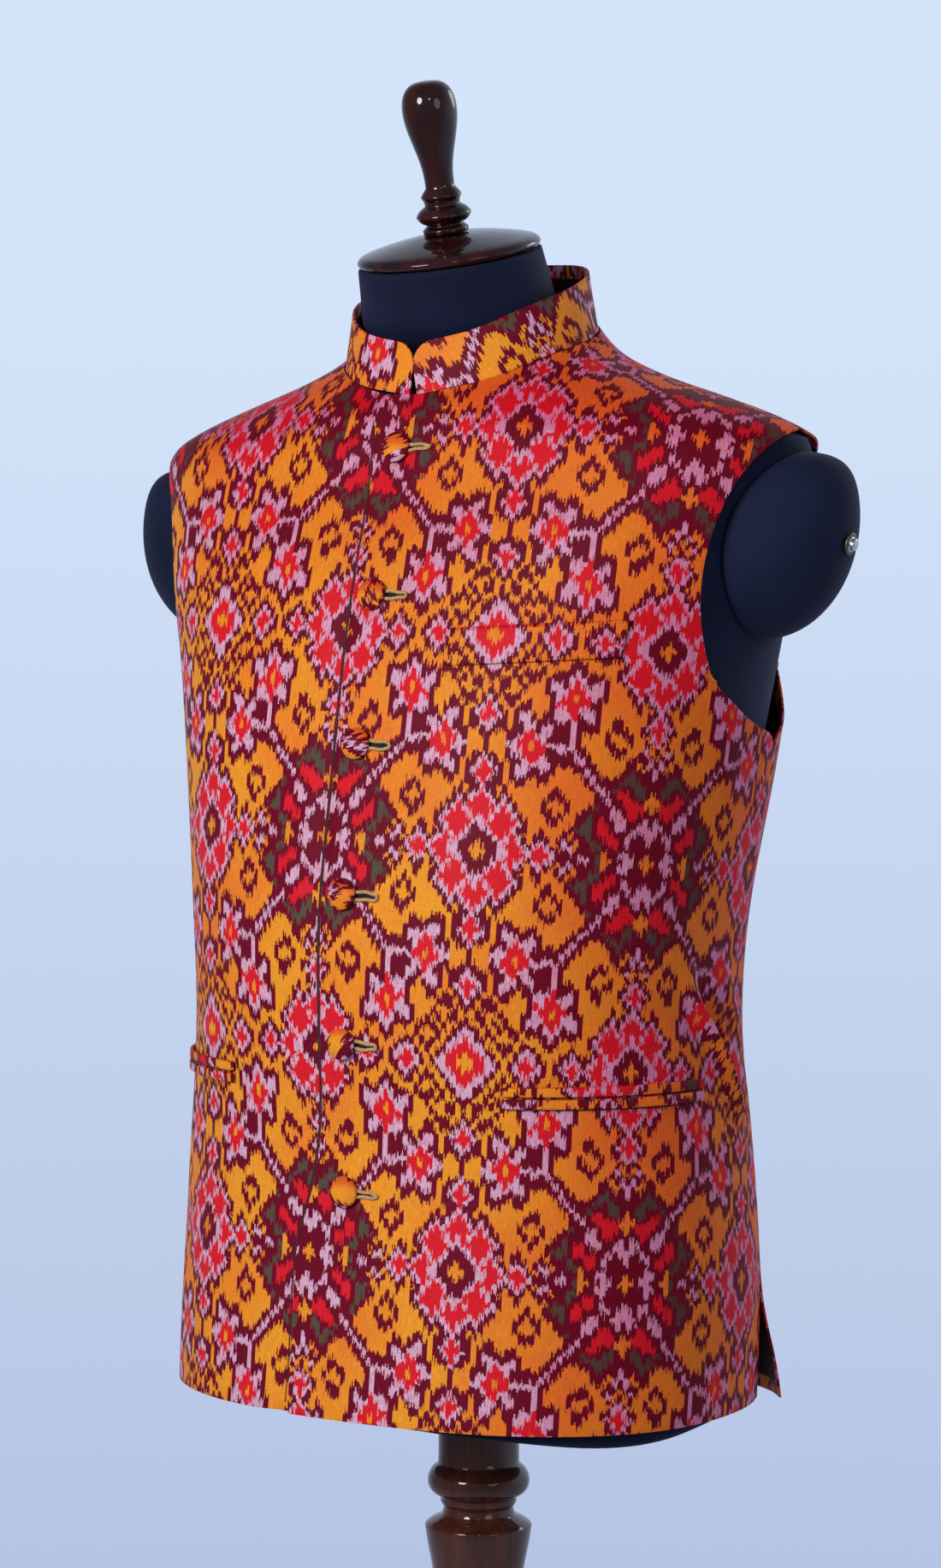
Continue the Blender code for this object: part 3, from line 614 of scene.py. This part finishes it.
def wall(made):
    """Gives a skin its thickness, with the silk outside and over the edges and the lining inside."""
    made.data.materials.append(SILK)
    made.data.materials.append(LINING)
    modify(made, "SOLIDIFY", thickness=THICKNESS, offset=-1.0, material_offset=1,
           material_offset_rim=0, use_even_offset=False, use_quality_normals=True)
    modify(made, "BEVEL", width=ROLL, segments=2, limit_method="ANGLE", angle_limit=math.radians(60))
    settle(made)
    made.data.shade_smooth()
    print(made.name, len(made.data.polygons), "faces")

# %% [markdown]
# The two fronts are cut so that the figure meets across the front edge, and the great medallions stand on
# the centre front. The places below put the grain of each cut upright there. The back is one piece.

# %% Fronts and back
MEDALLION = Vector((-0.0232, 0.0, HEM + 0.3720))


def near_centre(p):
    """The flat middle of a piece, which sets how its grain hangs."""
    return abs(p[0]) < 0.09 and HEM + 0.05 < p[2] < HEM + 0.52


def upright(p):
    return (p[0] - MEDALLION.x, MEDALLION.z - p[2])


def upright_back(p):
    return (REPEAT[0] / 2 - p[0], MEDALLION.z - p[2])


# for each cut: where its grain lies, how far its columns and rows lean, and its folds
# for each fold: across and down at one end, across and down at the other, width, depth
PANELS = {
    "front_left": (upright, (0.029, 0.045), (
        (0.262, 0.072, 0.330, 0.166, 0.0056, 0.0108),
        (0.275, 0.070, 0.342, 0.162, 0.0048, -0.0055),
        (0.296, 0.060, 0.344, 0.118, 0.0070, 0.0026),
        (0.012, -0.250, 0.020, 0.345, 0.0080, 0.0007),
        (0.230, -0.150, 0.262, -0.020, 0.0200, -0.0016),
        (0.262, -0.120, 0.300, 0.010, 0.0160, 0.0014),
        (0.080, 0.215, 0.120, 0.350, 0.0260, 0.0014),
        (0.180, 0.230, 0.196, 0.352, 0.0220, -0.0015),
        (0.060, -0.120, 0.150, -0.060, 0.0240, 0.0012),
        (0.030, 0.020, 0.110, 0.075, 0.0220, -0.0010),
        (0.120, 0.085, 0.240, 0.070, 0.0200, 0.0010),
        (0.040, 0.060, 0.052, 0.180, 0.0140, -0.0009),
    )),
    "front_right": (upright, (0.0, 0.045), (
        (-0.262, 0.070, -0.318, 0.150, 0.0080, -0.0026),
        (-0.276, 0.060, -0.330, 0.135, 0.0090, 0.0022),
        (-0.080, 0.200, -0.120, 0.350, 0.0250, 0.0015),
        (-0.170, 0.240, -0.190, 0.350, 0.0200, -0.0014),
        (-0.060, -0.110, -0.150, -0.050, 0.0240, 0.0012),
        (-0.210, -0.140, -0.250, -0.020, 0.0180, -0.0014),
        (-0.050, 0.030, -0.120, 0.080, 0.0200, -0.0010),
    )),
    "back": (upright_back, (0.0, 0.0), (
        (0.020, 0.030, 0.060, 0.120, 0.0180, -0.0022),
        (0.185, 0.045, 0.150, 0.135, 0.0160, -0.0020),
        (0.090, 0.060, 0.108, 0.190, 0.0200, 0.0018),
        (0.030, -0.200, 0.120, -0.130, 0.0240, 0.0016),
        (0.200, -0.180, 0.130, -0.120, 0.0220, -0.0014),
        (-0.040, 0.070, -0.090, 0.150, 0.0120, -0.0024),
        (0.270, 0.060, 0.316, 0.130, 0.0120, -0.0022),
        (0.060, 0.240, 0.040, 0.350, 0.0220, 0.0014),
        (0.170, 0.250, 0.196, 0.352, 0.0200, -0.0012),
    )),
}
SKINS, CUTS = {}, {}


def cut_piece(node, picked, aim, slant=(0.0, 0.0), folds=()):
    """Makes the skin of a cut piece and notes the size and the area of its flat cut."""
    skin = as_object(outer_face(node), node + "_silk")
    CUTS[node] = unroll(skin, picked, aim, slant)
    subdivide(skin, 2, boundary_smooth="PRESERVE_CORNERS")
    press(skin, folds)
    mark_edges(skin)
    SKINS[node] = skin


for node, (aim, slant, folds) in PANELS.items():
    cut_piece(node, near_centre, aim, slant, folds)

# %% [markdown]
# The collar is one band that stands round the neck, open at the front and rounded at its two front
# corners. It was cut on the slant, so on the wearer's left front the threads lean by a third of a right
# angle. There one of the small eyes of the figure stands on the middle of the band.

# %% Collar
COLLAR_SLANT = math.radians(32)
EYE_ON_BODY = Vector((0.0615, 0.0, HEM + 0.6739))
EYE_ON_SILK = (-0.0277, 0.0767)
COLLAR_TURN = 1.06  # the band turns away from x, so the silk on it runs on a little faster


def collar_front(p):
    """The wearer's left front of the band, before it turns round the neck."""
    return p[0] > 0.02 and p[1] < -0.045


def collar_grain(p):
    right, down = (p[0] - EYE_ON_BODY.x) * COLLAR_TURN, EYE_ON_BODY.z - p[2]
    lean, rise = math.sin(COLLAR_SLANT), math.cos(COLLAR_SLANT)
    return (EYE_ON_SILK[0] + right * rise - down * lean, EYE_ON_SILK[1] + right * lean + down * rise)


cut_piece("collar", collar_front, collar_grain)

# %% [markdown]
# What is sewn on a panel has to lie on it. A skin is searched both ways: from a place on the flat cut to
# the cloth on the body, and from a point near the body back to the flat cut. Both use one tree of
# triangles each, made before the wall gets its thickness.

# %% Find a place on the cloth
class Lie:
    """The way between a skin's flat cut and the skin on the body."""

    def __init__(self, skin):
        mesh = skin.data
        mesh.calc_loop_triangles()
        self.points = [vertex.co.copy() for vertex in mesh.vertices]
        self.normals = [vertex.normal.copy() for vertex in mesh.vertices]
        self.flat = [Vector((across, down, 0)) for across, down in flat_points(mesh)]
        self.triangles = [tuple(triangle.vertices) for triangle in mesh.loop_triangles]
        self.on_cut = BVHTree.FromPolygons(self.flat, self.triangles)
        self.on_body = BVHTree.FromPolygons(self.points, self.triangles)

    def carried(self, hit, triangle, here, there):
        """A point of a triangle here, carried to where the same triangle lies there."""
        corners = self.triangles[triangle]
        return barycentric_transform(hit, *(here[k] for k in corners), *(there[k] for k in corners))

    def worn(self, across, down, lift):
        """The point on the body over a place on the cut."""
        hit, _, triangle, _ = self.on_cut.find_nearest(Vector((across, down, 0)))
        point = self.carried(hit, triangle, self.flat, self.points)
        return point + self.carried(hit, triangle, self.flat, self.normals).normalized() * lift

    def cut(self, point):
        """The place on the cut under a point."""
        hit, _, triangle, _ = self.on_body.find_nearest(Vector(point))
        return self.carried(hit, triangle, self.points, self.flat).to_2d()


LIES = {side: Lie(SKINS["front_" + side]) for side in ("left", "right")}
for skin in SKINS.values():
    wall(skin)

# %% [markdown]
# Some solids only need rounding: the rolled jettings, the welt, the buttons, the padded form and the
# turned wood. A copy is merged and given back its quads, its hard edges are creased by a chosen share, and
# two rounds of subdivision smooth what is left.

# %% Round a solid
SHARP = math.radians(40)  # an edge that turns further than this is creased


def rounded(node, name, finishes, crease):
    """A smooth copy of a solid; a crease of 0 lets its edges go round, and 1 keeps them sharp."""
    bm = merged(node)
    quads(bm)
    creases = bm.edges.layers.float.new("crease_edge")
    for edge in bm.edges:
        if edge.calc_face_angle(0.0) > SHARP:
            edge[creases] = crease
    made = as_object(bm, name)
    for finish in finishes:
        made.data.materials.append(finish)
    subdivide(made, 2)
    made.data.shade_smooth()
    return made


def fill_box(made, node):
    """Stretches a rounded piece back to the box of its solid, which rounding had shrunk."""
    low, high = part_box(node)
    places = points_of(made.data)
    least, most = places.min(0), places.max(0)
    places = (places - least) / (most - least) * np.array(high - low) + np.array(low)
    made.data.vertices.foreach_set("co", places.ravel())
    made.data.update()


def lay_on_cut(made, place):
    """A UV map called cloth from the place on a cut of each point."""
    layer = made.data.uv_layers.new(name="cloth")
    spots = [place(vertex.co) for vertex in made.data.vertices]
    for loop in made.data.loops:
        layer.data[loop.index].uv = spots[loop.vertex_index]

# %% [markdown]
# The breast welt and the hip jettings are strips of the same silk. The welt was matched, so it carries on
# the figure below it. Each jetting was cut across the silk at a place of its own, named below by the
# middle of its strip.

# %% Welt and jettings
STRIPS = {  # side, crease, and the place of the middle on the silk, or None where it was matched
    "breast_welt": ("left", 0.55, None),
    "pocket_left_upper_welt": ("left", 0.25, (0.1163, 0.0223)),
    "pocket_left_lower_welt": ("left", 0.25, (0.0030, 0.0609)),
    "pocket_right_upper_welt": ("right", 0.25, (-0.014, 0.041)),
    "pocket_right_lower_welt": ("right", 0.25, (0.0555, 0.0862)),
}
TRIMS = {"left": [], "right": []}


def middle_of(node):
    low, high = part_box(node)
    return (low + high) / 2


for node, (side, crease, scrap) in STRIPS.items():
    strip, lie = rounded(node, node + "_silk", [SILK], crease), LIES[side]
    moved = Vector(scrap) - lie.cut(middle_of(node)) if scrap else Vector((0, 0))
    lay_on_cut(strip, lambda p: lie.cut(p) + moved)
    TRIMS[side].append((strip, node))

# %% [markdown]
# Between its two jettings runs the mouth of a pocket, and under the lower one the seam that holds it. Both
# are painted shadow: the shade inside the mouth and the shadow of the lower lip along the seam, as thin
# dark patches laid just over the cloth, along a line of places on its cut.

# %% Painted shade in the pocket mouths and under the jettings
def plain(name, colour, roughness, **sockets):
    """A plain finish with a faint mottle."""
    finish = Finish(name)
    mottle = finish.noise(finish.place(), 900.0, 3.0)
    shaded = finish.mix(mottle, [c * 0.75 for c in colour], [min(c * 1.25, 1.0) for c in colour])
    finish.wear(Base_Color=shaded, Roughness=roughness, Normal=finish.bump(mottle, 0.0001, 0.5), **sockets)
    return finish.material


SHADOW = plain("slit_shadow", (0.012, 0.002, 0.004), 0.9)
LAP_SHADOW = plain("lap_shadow", (0.050, 0.008, 0.013), 0.9)
# half the width of a patch of painted shadow, and how high it lies over the cloth
MOUTH_SHADOW, SEAM_SHADOW, EDGE, HOLE_SHADOW = (0.0016, 0.0007), (0.00045, 0.00035), (0.0010, 0.0003), (0.0020, 0.0004)
# where the painted shadow under a lower jetting runs
SEAM_SHADOW_ENDS = (0.06, 0.94)  # it stops a little short of the ends of its jetting
SEAM_SHADOW_REACH, SEAM_SHADOW_GAP = 0.012, 0.0004  # it runs this far under the lowest point within reach
BLUNT = 0.08  # a patch is never quite pointed


def slit(name, lie, line, half_width, lift, finish=SHADOW):
    """A thin patch of painted shadow along a line of places on the cut, drawn in at both ends."""
    bm = bmesh.new()
    rows = []
    for k, place in enumerate(line):
        share = k / (len(line) - 1)
        wide = half_width * max(math.sin(math.pi * share), BLUNT) ** 0.5
        run = (line[min(k + 1, len(line) - 1)] - line[max(k - 1, 0)]).normalized()
        off = Vector((-run.y, run.x)) * wide
        rows.append([bm.verts.new(lie.worn(*(place + off * side), lift)) for side in (-1, 0, 1)])
    for near, far in zip(rows, rows[1:]):
        for k in (0, 1):
            bm.faces.new((near[k], far[k], far[k + 1], near[k + 1]))
    bmesh.ops.recalc_face_normals(bm, faces=bm.faces)
    if sum((face.normal for face in bm.faces), Vector()).y > 0:
        bmesh.ops.reverse_faces(bm, faces=bm.faces)
    made = as_object(bm, name)
    made.data.materials.append(finish)
    made.data.shade_smooth()
    return made


def straight(start, end, steps=16):
    start, end = Vector(start), Vector(end)
    return [start.lerp(end, k / steps) for k in range(steps + 1)]


for side, lie in LIES.items():
    name = "pocket_" + side
    upper, lower = (points_of(NODES[f"{name}_{which}_welt"].data) for which in ("upper", "lower"))
    ends = []
    for pick in (np.argmin, np.argmax):
        above, below = (lie.cut(points[pick(points[:, 0])]) for points in (upper, lower))
        ends.append((above + below) / 2)
    # the mouth: a patch of painted shade between the two jettings
    TRIMS[side].append((slit(name + "_mouth", lie, straight(*ends), *MOUTH_SHADOW), None))
    # under the lower jetting: a line of painted shadow cast by its lip, along the seam
    spots = np.array([lie.cut(p) for p in lower])
    feet = []
    for x in np.quantile(spots[:, 0], SEAM_SHADOW_ENDS):
        feet.append((x, spots[abs(spots[:, 0] - x) < SEAM_SHADOW_REACH, 1].max() + SEAM_SHADOW_GAP))
    TRIMS[side].append((slit(name + "_seam", lie, straight(*feet), *SEAM_SHADOW), None))
    print(name, "mouth", round((ends[1] - ends[0]).length * 1000), "mm")

# %% [markdown]
# The left front laps over the right one and stands a little off it, so a line of painted shadow runs down
# beside its edge. The edge is found on the left cut, level by level, and carried over to the right one.

# %% The painted shadow beside the front edge
EDGE_TOP = -0.300  # down on the cut
EDGE_STRIP, HEM_GAP = 0.02, 0.004  # the line ends this far above the lowest point of the strip at the edge
EDGE_LEVELS = 48
EDGE_REACH = 0.006  # how far from a level a point still counts
BESIDE = 0.0032  # how far the line lies from the edge


def front_edge():
    """Places on the right cut beside the edge of the left front, from under the neck to the hem."""
    left, right = LIES["left"], LIES["right"]
    spots = np.array([place[:2] for place in left.flat])
    foot = spots[spots[:, 0] < EDGE_STRIP, 1].max() - HEM_GAP
    line = []
    for level in np.linspace(EDGE_TOP, foot, EDGE_LEVELS):
        near = np.flatnonzero(abs(spots[:, 1] - level) < EDGE_REACH)
        line.append(right.cut(left.points[near[np.argmin(spots[near, 0])]]))
    smooth = [line[0]] + [(a + b * 2 + c) / 4 for a, b, c in zip(line, line[1:], line[2:])] + [line[-1]]
    return [place - Vector((BESIDE, 0)) for place in smooth]


# a thin patch of painted shadow on the right front, beside the edge of the left one
edge_shadow_line = slit("front_edge_shadow_line", LIES["right"], front_edge(), *EDGE, LAP_SHADOW)
TRIMS["right"].append((edge_shadow_line, None))

# %% [markdown]
# The buttons are wooden moulds covered with scraps of the silk, so each shows another place of the figure,
# turned as it came. A scrap is laid flat over the dome, which is a plain projection along its axis.

# %% Covered buttons
SCRAPS = {  # across and down on the silk, and the turn of the scrap in degrees
    "button_1": (0.1004, 0.0652, 110),
    "button_2": (0.0876, 0.104, 15),
    "button_3": (-0.0438, 0.054, 106),
    "button_4": (-0.0562, 0.0130, 90),
    "button_5": (-0.0350, 0.0935, 140),
    "button_6": (0.0449, 0.0389, 35),
}


def on_scrap(middle, across, down, turn):
    """The way from a point of a button, straight down its axis, to its place on the turned scrap."""
    c, s = math.cos(math.radians(turn)), math.sin(math.radians(turn))

    def place(p):
        x, z = p.x - middle.x, middle.z - p.z
        return (across + x * c - z * s, down + x * s + z * c)

    return place


for node in BUTTONS:
    button = rounded(node, node + "_silk", [SILK], crease=0.35)
    fill_box(button, node)
    lay_on_cut(button, on_scrap(middle_of(node), *SCRAPS[node]))
    TRIMS["left"].append((button, node))
print("buttons:", len(SCRAPS))

# %% [markdown]
# Each buttonhole is bound by hand with a gold corded thread: two strands run out from under the button,
# a little apart, and meet at the far end. The strands are one closed loop, swept as a round cord, and the
# hole between them is a thin patch of painted shade.

# %% Buttonholes
def thread_finish():
    finish = Finish("buttonhole_thread")
    place = finish.place()
    twist = finish.noise(place, 1600.0, 2.0)
    colour = finish.mix(twist.ramp(0.35, 0.65), (0.30, 0.155, 0.045), (0.66, 0.39, 0.135))
    finish.wear(Base_Color=colour, Roughness=0.55, Normal=finish.bump(twist, 0.0004, 0.9), Sheen_Weight=0.2)
    return finish.material


THREAD = thread_finish()
CORD_POINTS = 28
CORD_START, CORD_LENGTH = 0.002, 0.0230  # from the middle of the button, and on from there
CORD_SPREAD, CORD_RADIUS = 0.0026, 0.0013
WANDER = 0.0004  # how far a strand strays from its line
CLOSINGS = (0.65, 0.25, 0.05, 0.10, 0.30, 0.60)  # how far each loop has closed at its far end
HOLE_SHADOW_ENDS = (0.003, 0.0245)  # from the middle of the button


def loop_of_cord(name, lie, centre, closing):
    """A long closed loop of cord laid on the cloth, from under the button to its far end."""
    curve = bpy.data.curves.new(name, "CURVE")
    curve.dimensions = "3D"
    curve.bevel_depth, curve.bevel_resolution = CORD_RADIUS, 2
    line = curve.splines.new("POLY")
    line.points.add(CORD_POINTS - 1)
    for k, point in enumerate(line.points):
        turn = 2 * math.pi * k / CORD_POINTS
        run = 0.5 - 0.5 * math.cos(turn)
        side = math.copysign(abs(math.sin(turn)) ** 0.4, math.sin(turn)) * (1 - closing * run)
        across = centre.x + CORD_START + CORD_LENGTH * run
        down = centre.y + CORD_SPREAD * side + WANDER * math.sin(5 * turn + 40 * centre.y)
        point.co = (*lie.worn(across, down, CORD_RADIUS * 0.85), 1.0)
    line.use_cyclic_u = True
    swept = in_scene(name, curve)
    mesh = shown_mesh(swept)
    bpy.data.objects.remove(swept)
    mesh.materials.append(THREAD)
    made = in_scene(name, mesh)
    subdivide(made, 1)
    made.data.shade_smooth()
    return made


for k, (node, closing) in enumerate(zip(BUTTONS, CLOSINGS)):
    name, lie = f"buttonhole_{k + 1}", LIES["left"]
    centre = lie.cut(middle_of(node))
    TRIMS["left"].append((loop_of_cord(name, lie, centre, closing), None))
    # the hole between the strands: a patch of painted shade
    ends = [(centre.x + x, centre.y) for x in HOLE_SHADOW_ENDS]
    TRIMS["left"].append((slit(name + "_gap", lie, straight(*ends), *HOLE_SHADOW), None))

# %% [markdown]
# The form is padded and covered with a fine black jersey. Its knit shows as faint upright ribs. The sewn
# ends where arms would be are pads of the same jersey, each held by a bolt with a washer.

# %% Dress form
RIBS = 4200.0  # radians of the wave to a metre, which is a rib every millimetre and a half
HEAD_RADIUS = 0.0046


def jersey():
    finish = Finish("jersey")
    place = finish.place()
    rib = ((finish.along(place, 0) * 0.85 + finish.along(place, 1) * 0.53) * RIBS).sine() * 0.5 + 0.5
    fuzz = finish.noise(place, 1400.0, 3.0)
    worn = finish.noise(place, 14.0, 3.0)
    colour = finish.mix(worn.ramp(0.35, 0.7), (0.0040, 0.0062, 0.0235), (0.0066, 0.0100, 0.0360))
    colour = finish.mix(fuzz.ramp(0.62, 0.8) * 0.5, colour, (0.030, 0.034, 0.050))
    relief = finish.bump(rib * 0.6 + fuzz, 0.00018, 0.7)
    finish.wear(Base_Color=colour, Roughness=0.80, Normal=relief, Specular_IOR_Level=0.16,
                Sheen_Weight=0.05, Sheen_Roughness=0.45, Sheen_Tint=(0.55, 0.62, 0.9))
    return finish.material


JERSEY = jersey()
STEEL = plain("bolt_steel", (0.52, 0.52, 0.50), 0.22, Metallic=1.0)
BRONZE = plain("washer_bronze", (0.105, 0.095, 0.062), 0.42, Metallic=0.7)


def bolt(node):
    """A bolt with a bright head on a dull washer."""
    made = rounded(node, node + "_steel", [STEEL, BRONZE], crease=0.85)
    places = points_of(made.data)
    middle = places.mean(0)
    axis = np.linalg.svd(places - middle, full_matrices=False)[2][-1]
    for face in made.data.polygons:
        off = np.array(face.center) - middle
        face.material_index = int(np.linalg.norm(off - axis * (off @ axis)) > HEAD_RADIUS)
    return made


FORM = {}
for node, crease in (("form_torso", 0.75), ("form_arm_left", 0.45), ("form_arm_right", 0.45)):
    FORM[node] = rounded(node, node + "_jersey", [JERSEY], crease)
for node in ("arm_bolt_left", "arm_bolt_right"):
    FORM[node] = bolt(node)
print("form:", list(FORM))

# %% [markdown]
# The neck cap with its finial is turned from dark mahogany under a glossy lacquer, and the pole and base
# are a browner wood. The grain is noise drawn out along the height, and the gloss is the shader's own coat.

# %% Turned wood
def lacquer(name, dark, light, streak):
    """Grain between two colours; a small streak parts them sharply."""
    finish = Finish(name)
    place = finish.place()
    x, y, z = (finish.along(place, k) for k in range(3))
    grain = finish.noise(finish.vector(x * 90.0, y * 90.0, z * 5.0), 1.0, 4.0)
    fine = finish.noise(finish.vector(x * 700.0, y * 700.0, z * 24.0), 1.0, 2.0)
    colour = finish.mix((grain * 0.7 + fine * 0.3).ramp(0.5 - streak, 0.5 + streak), dark, light)
    finish.wear(Base_Color=colour, Roughness=0.45 + fine * 0.1, Coat_Weight=0.75, Coat_Roughness=0.025,
                Specular_IOR_Level=0.05, Normal=finish.bump(fine, 0.00003, 0.3))
    return finish.material


MAHOGANY = lacquer("mahogany_lacquer", (0.0035, 0.0005, 0.0006), (0.036, 0.0036, 0.0030), 0.24)
BROWN_WOOD = lacquer("brown_lacquer", (0.026, 0.0062, 0.0040), (0.092, 0.0240, 0.0130), 0.25)
TURNED = {  # the finish, the name of its slot, and the crease
    "neck_cap": (MAHOGANY, "mahogany", 0.55),
    "finial": (MAHOGANY, "mahogany", 0.55),
    "pole": (BROWN_WOOD, "lacquered_wood", 0.6),
    "base": (BROWN_WOOD, "lacquered_wood", 0.6),
}
WOOD = {}
for node, (finish, _, crease) in TURNED.items():
    WOOD[node] = rounded(node, node + "_wood", [finish], crease)
print("turned wood:", list(WOOD))

# %% [markdown]
# Every piece now rides on the one body of the frame, and the solid that it stands for is hidden; what is
# sewn on goes along. The width, length and area of the four flat cuts are then read back.

# %% Join the pieces to the frame
COLLAR_HEIGHT, COLLAR_MEAN_HEIGHT = 0.036, 0.033  # the rounded corners take away from the mean


def wear_piece(piece, node, slot):
    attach(piece, "root")
    if node:
        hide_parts(node)


for node, skin in SKINS.items():
    wear_piece(skin, node, "ikat_silk")
for side in TRIMS.values():
    for piece, node in side:
        wear_piece(piece, node, "ikat_silk")
for node, piece in FORM.items():
    wear_piece(piece, node, "bolt_steel" if "bolt" in node else "jersey")
for node, piece in WOOD.items():
    wear_piece(piece, node, TURNED[node][1])
for node, skin in SKINS.items():
    (width, length), area = CUTS[node]
    if node == "collar":  # a shallow arc when flat, so its box on the cut says little
        width, length = area / COLLAR_MEAN_HEIGHT, COLLAR_HEIGHT

# %% [markdown]
# A pale floor lies under the base and fades out before its edge, so that it never cuts the background.

# %% Floor
FLOOR_FADE = (0.45, 0.95)


def pale_floor():
    finish = Finish("pale_floor")
    place = finish.place()
    x, y = finish.along(place, 0), finish.along(place, 1)
    far = finish.math("SQRT", x * x + y * y)
    finish.wear(Base_Color=(0.52, 0.56, 0.64), Roughness=0.7)
    solid, clear = Value(finish, finish.shader.outputs[0]), finish.node("BsdfTransparent")
    shown = finish.node("MixShader", None, (far.ramp(*FLOOR_FADE), solid, clear))
    finish.join(shown, finish.tree.nodes["Material Output"].inputs["Surface"])
    return finish.material


bm = bmesh.new()
bmesh.ops.create_circle(bm, cap_ends=True, segments=96, radius=1.0)
floor = as_object(bm, "floor")
floor.data.materials.append(pale_floor())

# %% [markdown]
# Four soft lights stand where a small studio has them: a broad key high in front, to the wearer's right, a
# dim fill and a small window on the other side, and one behind that parts the dark form from the wall.

# %% Lights
LIGHTS = {  # spot, aim, size across, power in watts, colour
    "key": ((-0.35, -2.7, 1.65), (0, 0, 0.8), 1.0, 60, (1, 1, 1)),
    "fill": ((2.6, -1.2, 1.5), (0, 0, 0.8), 1.3, 8.5, (0.92, 0.95, 1.0)),
    "window": ((1.7, -2.5, 2.0), (0, 0, 1.0), 0.30, 5, (0.85, 0.92, 1.0)),
    "rim": ((1.0, 2.2, 2.2), (0, 0, 0.9), 1.2, 14, (1, 1, 1)),
}
for name, (spot, aim, size, power, colour) in LIGHTS.items():
    light = bpy.data.lights.new(name, "AREA")
    light.shape, light.size, light.energy, light.color = "DISK", size, power, colour
    turn = (Vector(spot) - Vector(aim)).to_track_quat("Z", "Y").to_matrix().to_4x4()
    in_scene(name, light).matrix_world = Matrix.Translation(spot) @ turn
print("lights:", len(LIGHTS))

# %% [markdown]
# The lacquer mirrors the room, so the world has one: a pale wall behind the form and a dimmer room before
# it, blended by direction.

# %% Walls
ROOM = (0.21, 0.23, 0.28)
WALL_LOW, WALL_HIGH = (0.455, 0.545, 0.765), (0.655, 0.770, 0.955)
BEHIND = (0.0, 0.9, -0.45)  # the way to the wall: back, and a little down
ROOM_TO_WALL = (-0.2, 0.6)  # along that way
WALL_RISE = (-0.25, 0.09)  # from its low colour to its high one, along z


def studio_walls():
    """A pale wall behind the form, lighter towards its top, and a dimmer room before it."""
    world = bpy.data.worlds.new("studio")
    bpy.context.scene.world = world
    graph = Graph(world)
    way = graph.node("TexCoord", None, (), "Generated")
    height = graph.node("MapRange", None, (graph.along(way, 2), *WALL_RISE))
    behind = graph.node("VectorMath", {"operation": "DOT_PRODUCT"}, (way, BEHIND), "Value")
    colour = graph.mix(behind.ramp(*ROOM_TO_WALL), ROOM, graph.mix(height, WALL_LOW, WALL_HIGH))
    graph.join(colour, graph.tree.nodes["Background"].inputs["Color"])


studio_walls()
bpy.context.scene.view_settings.view_transform = "Standard"
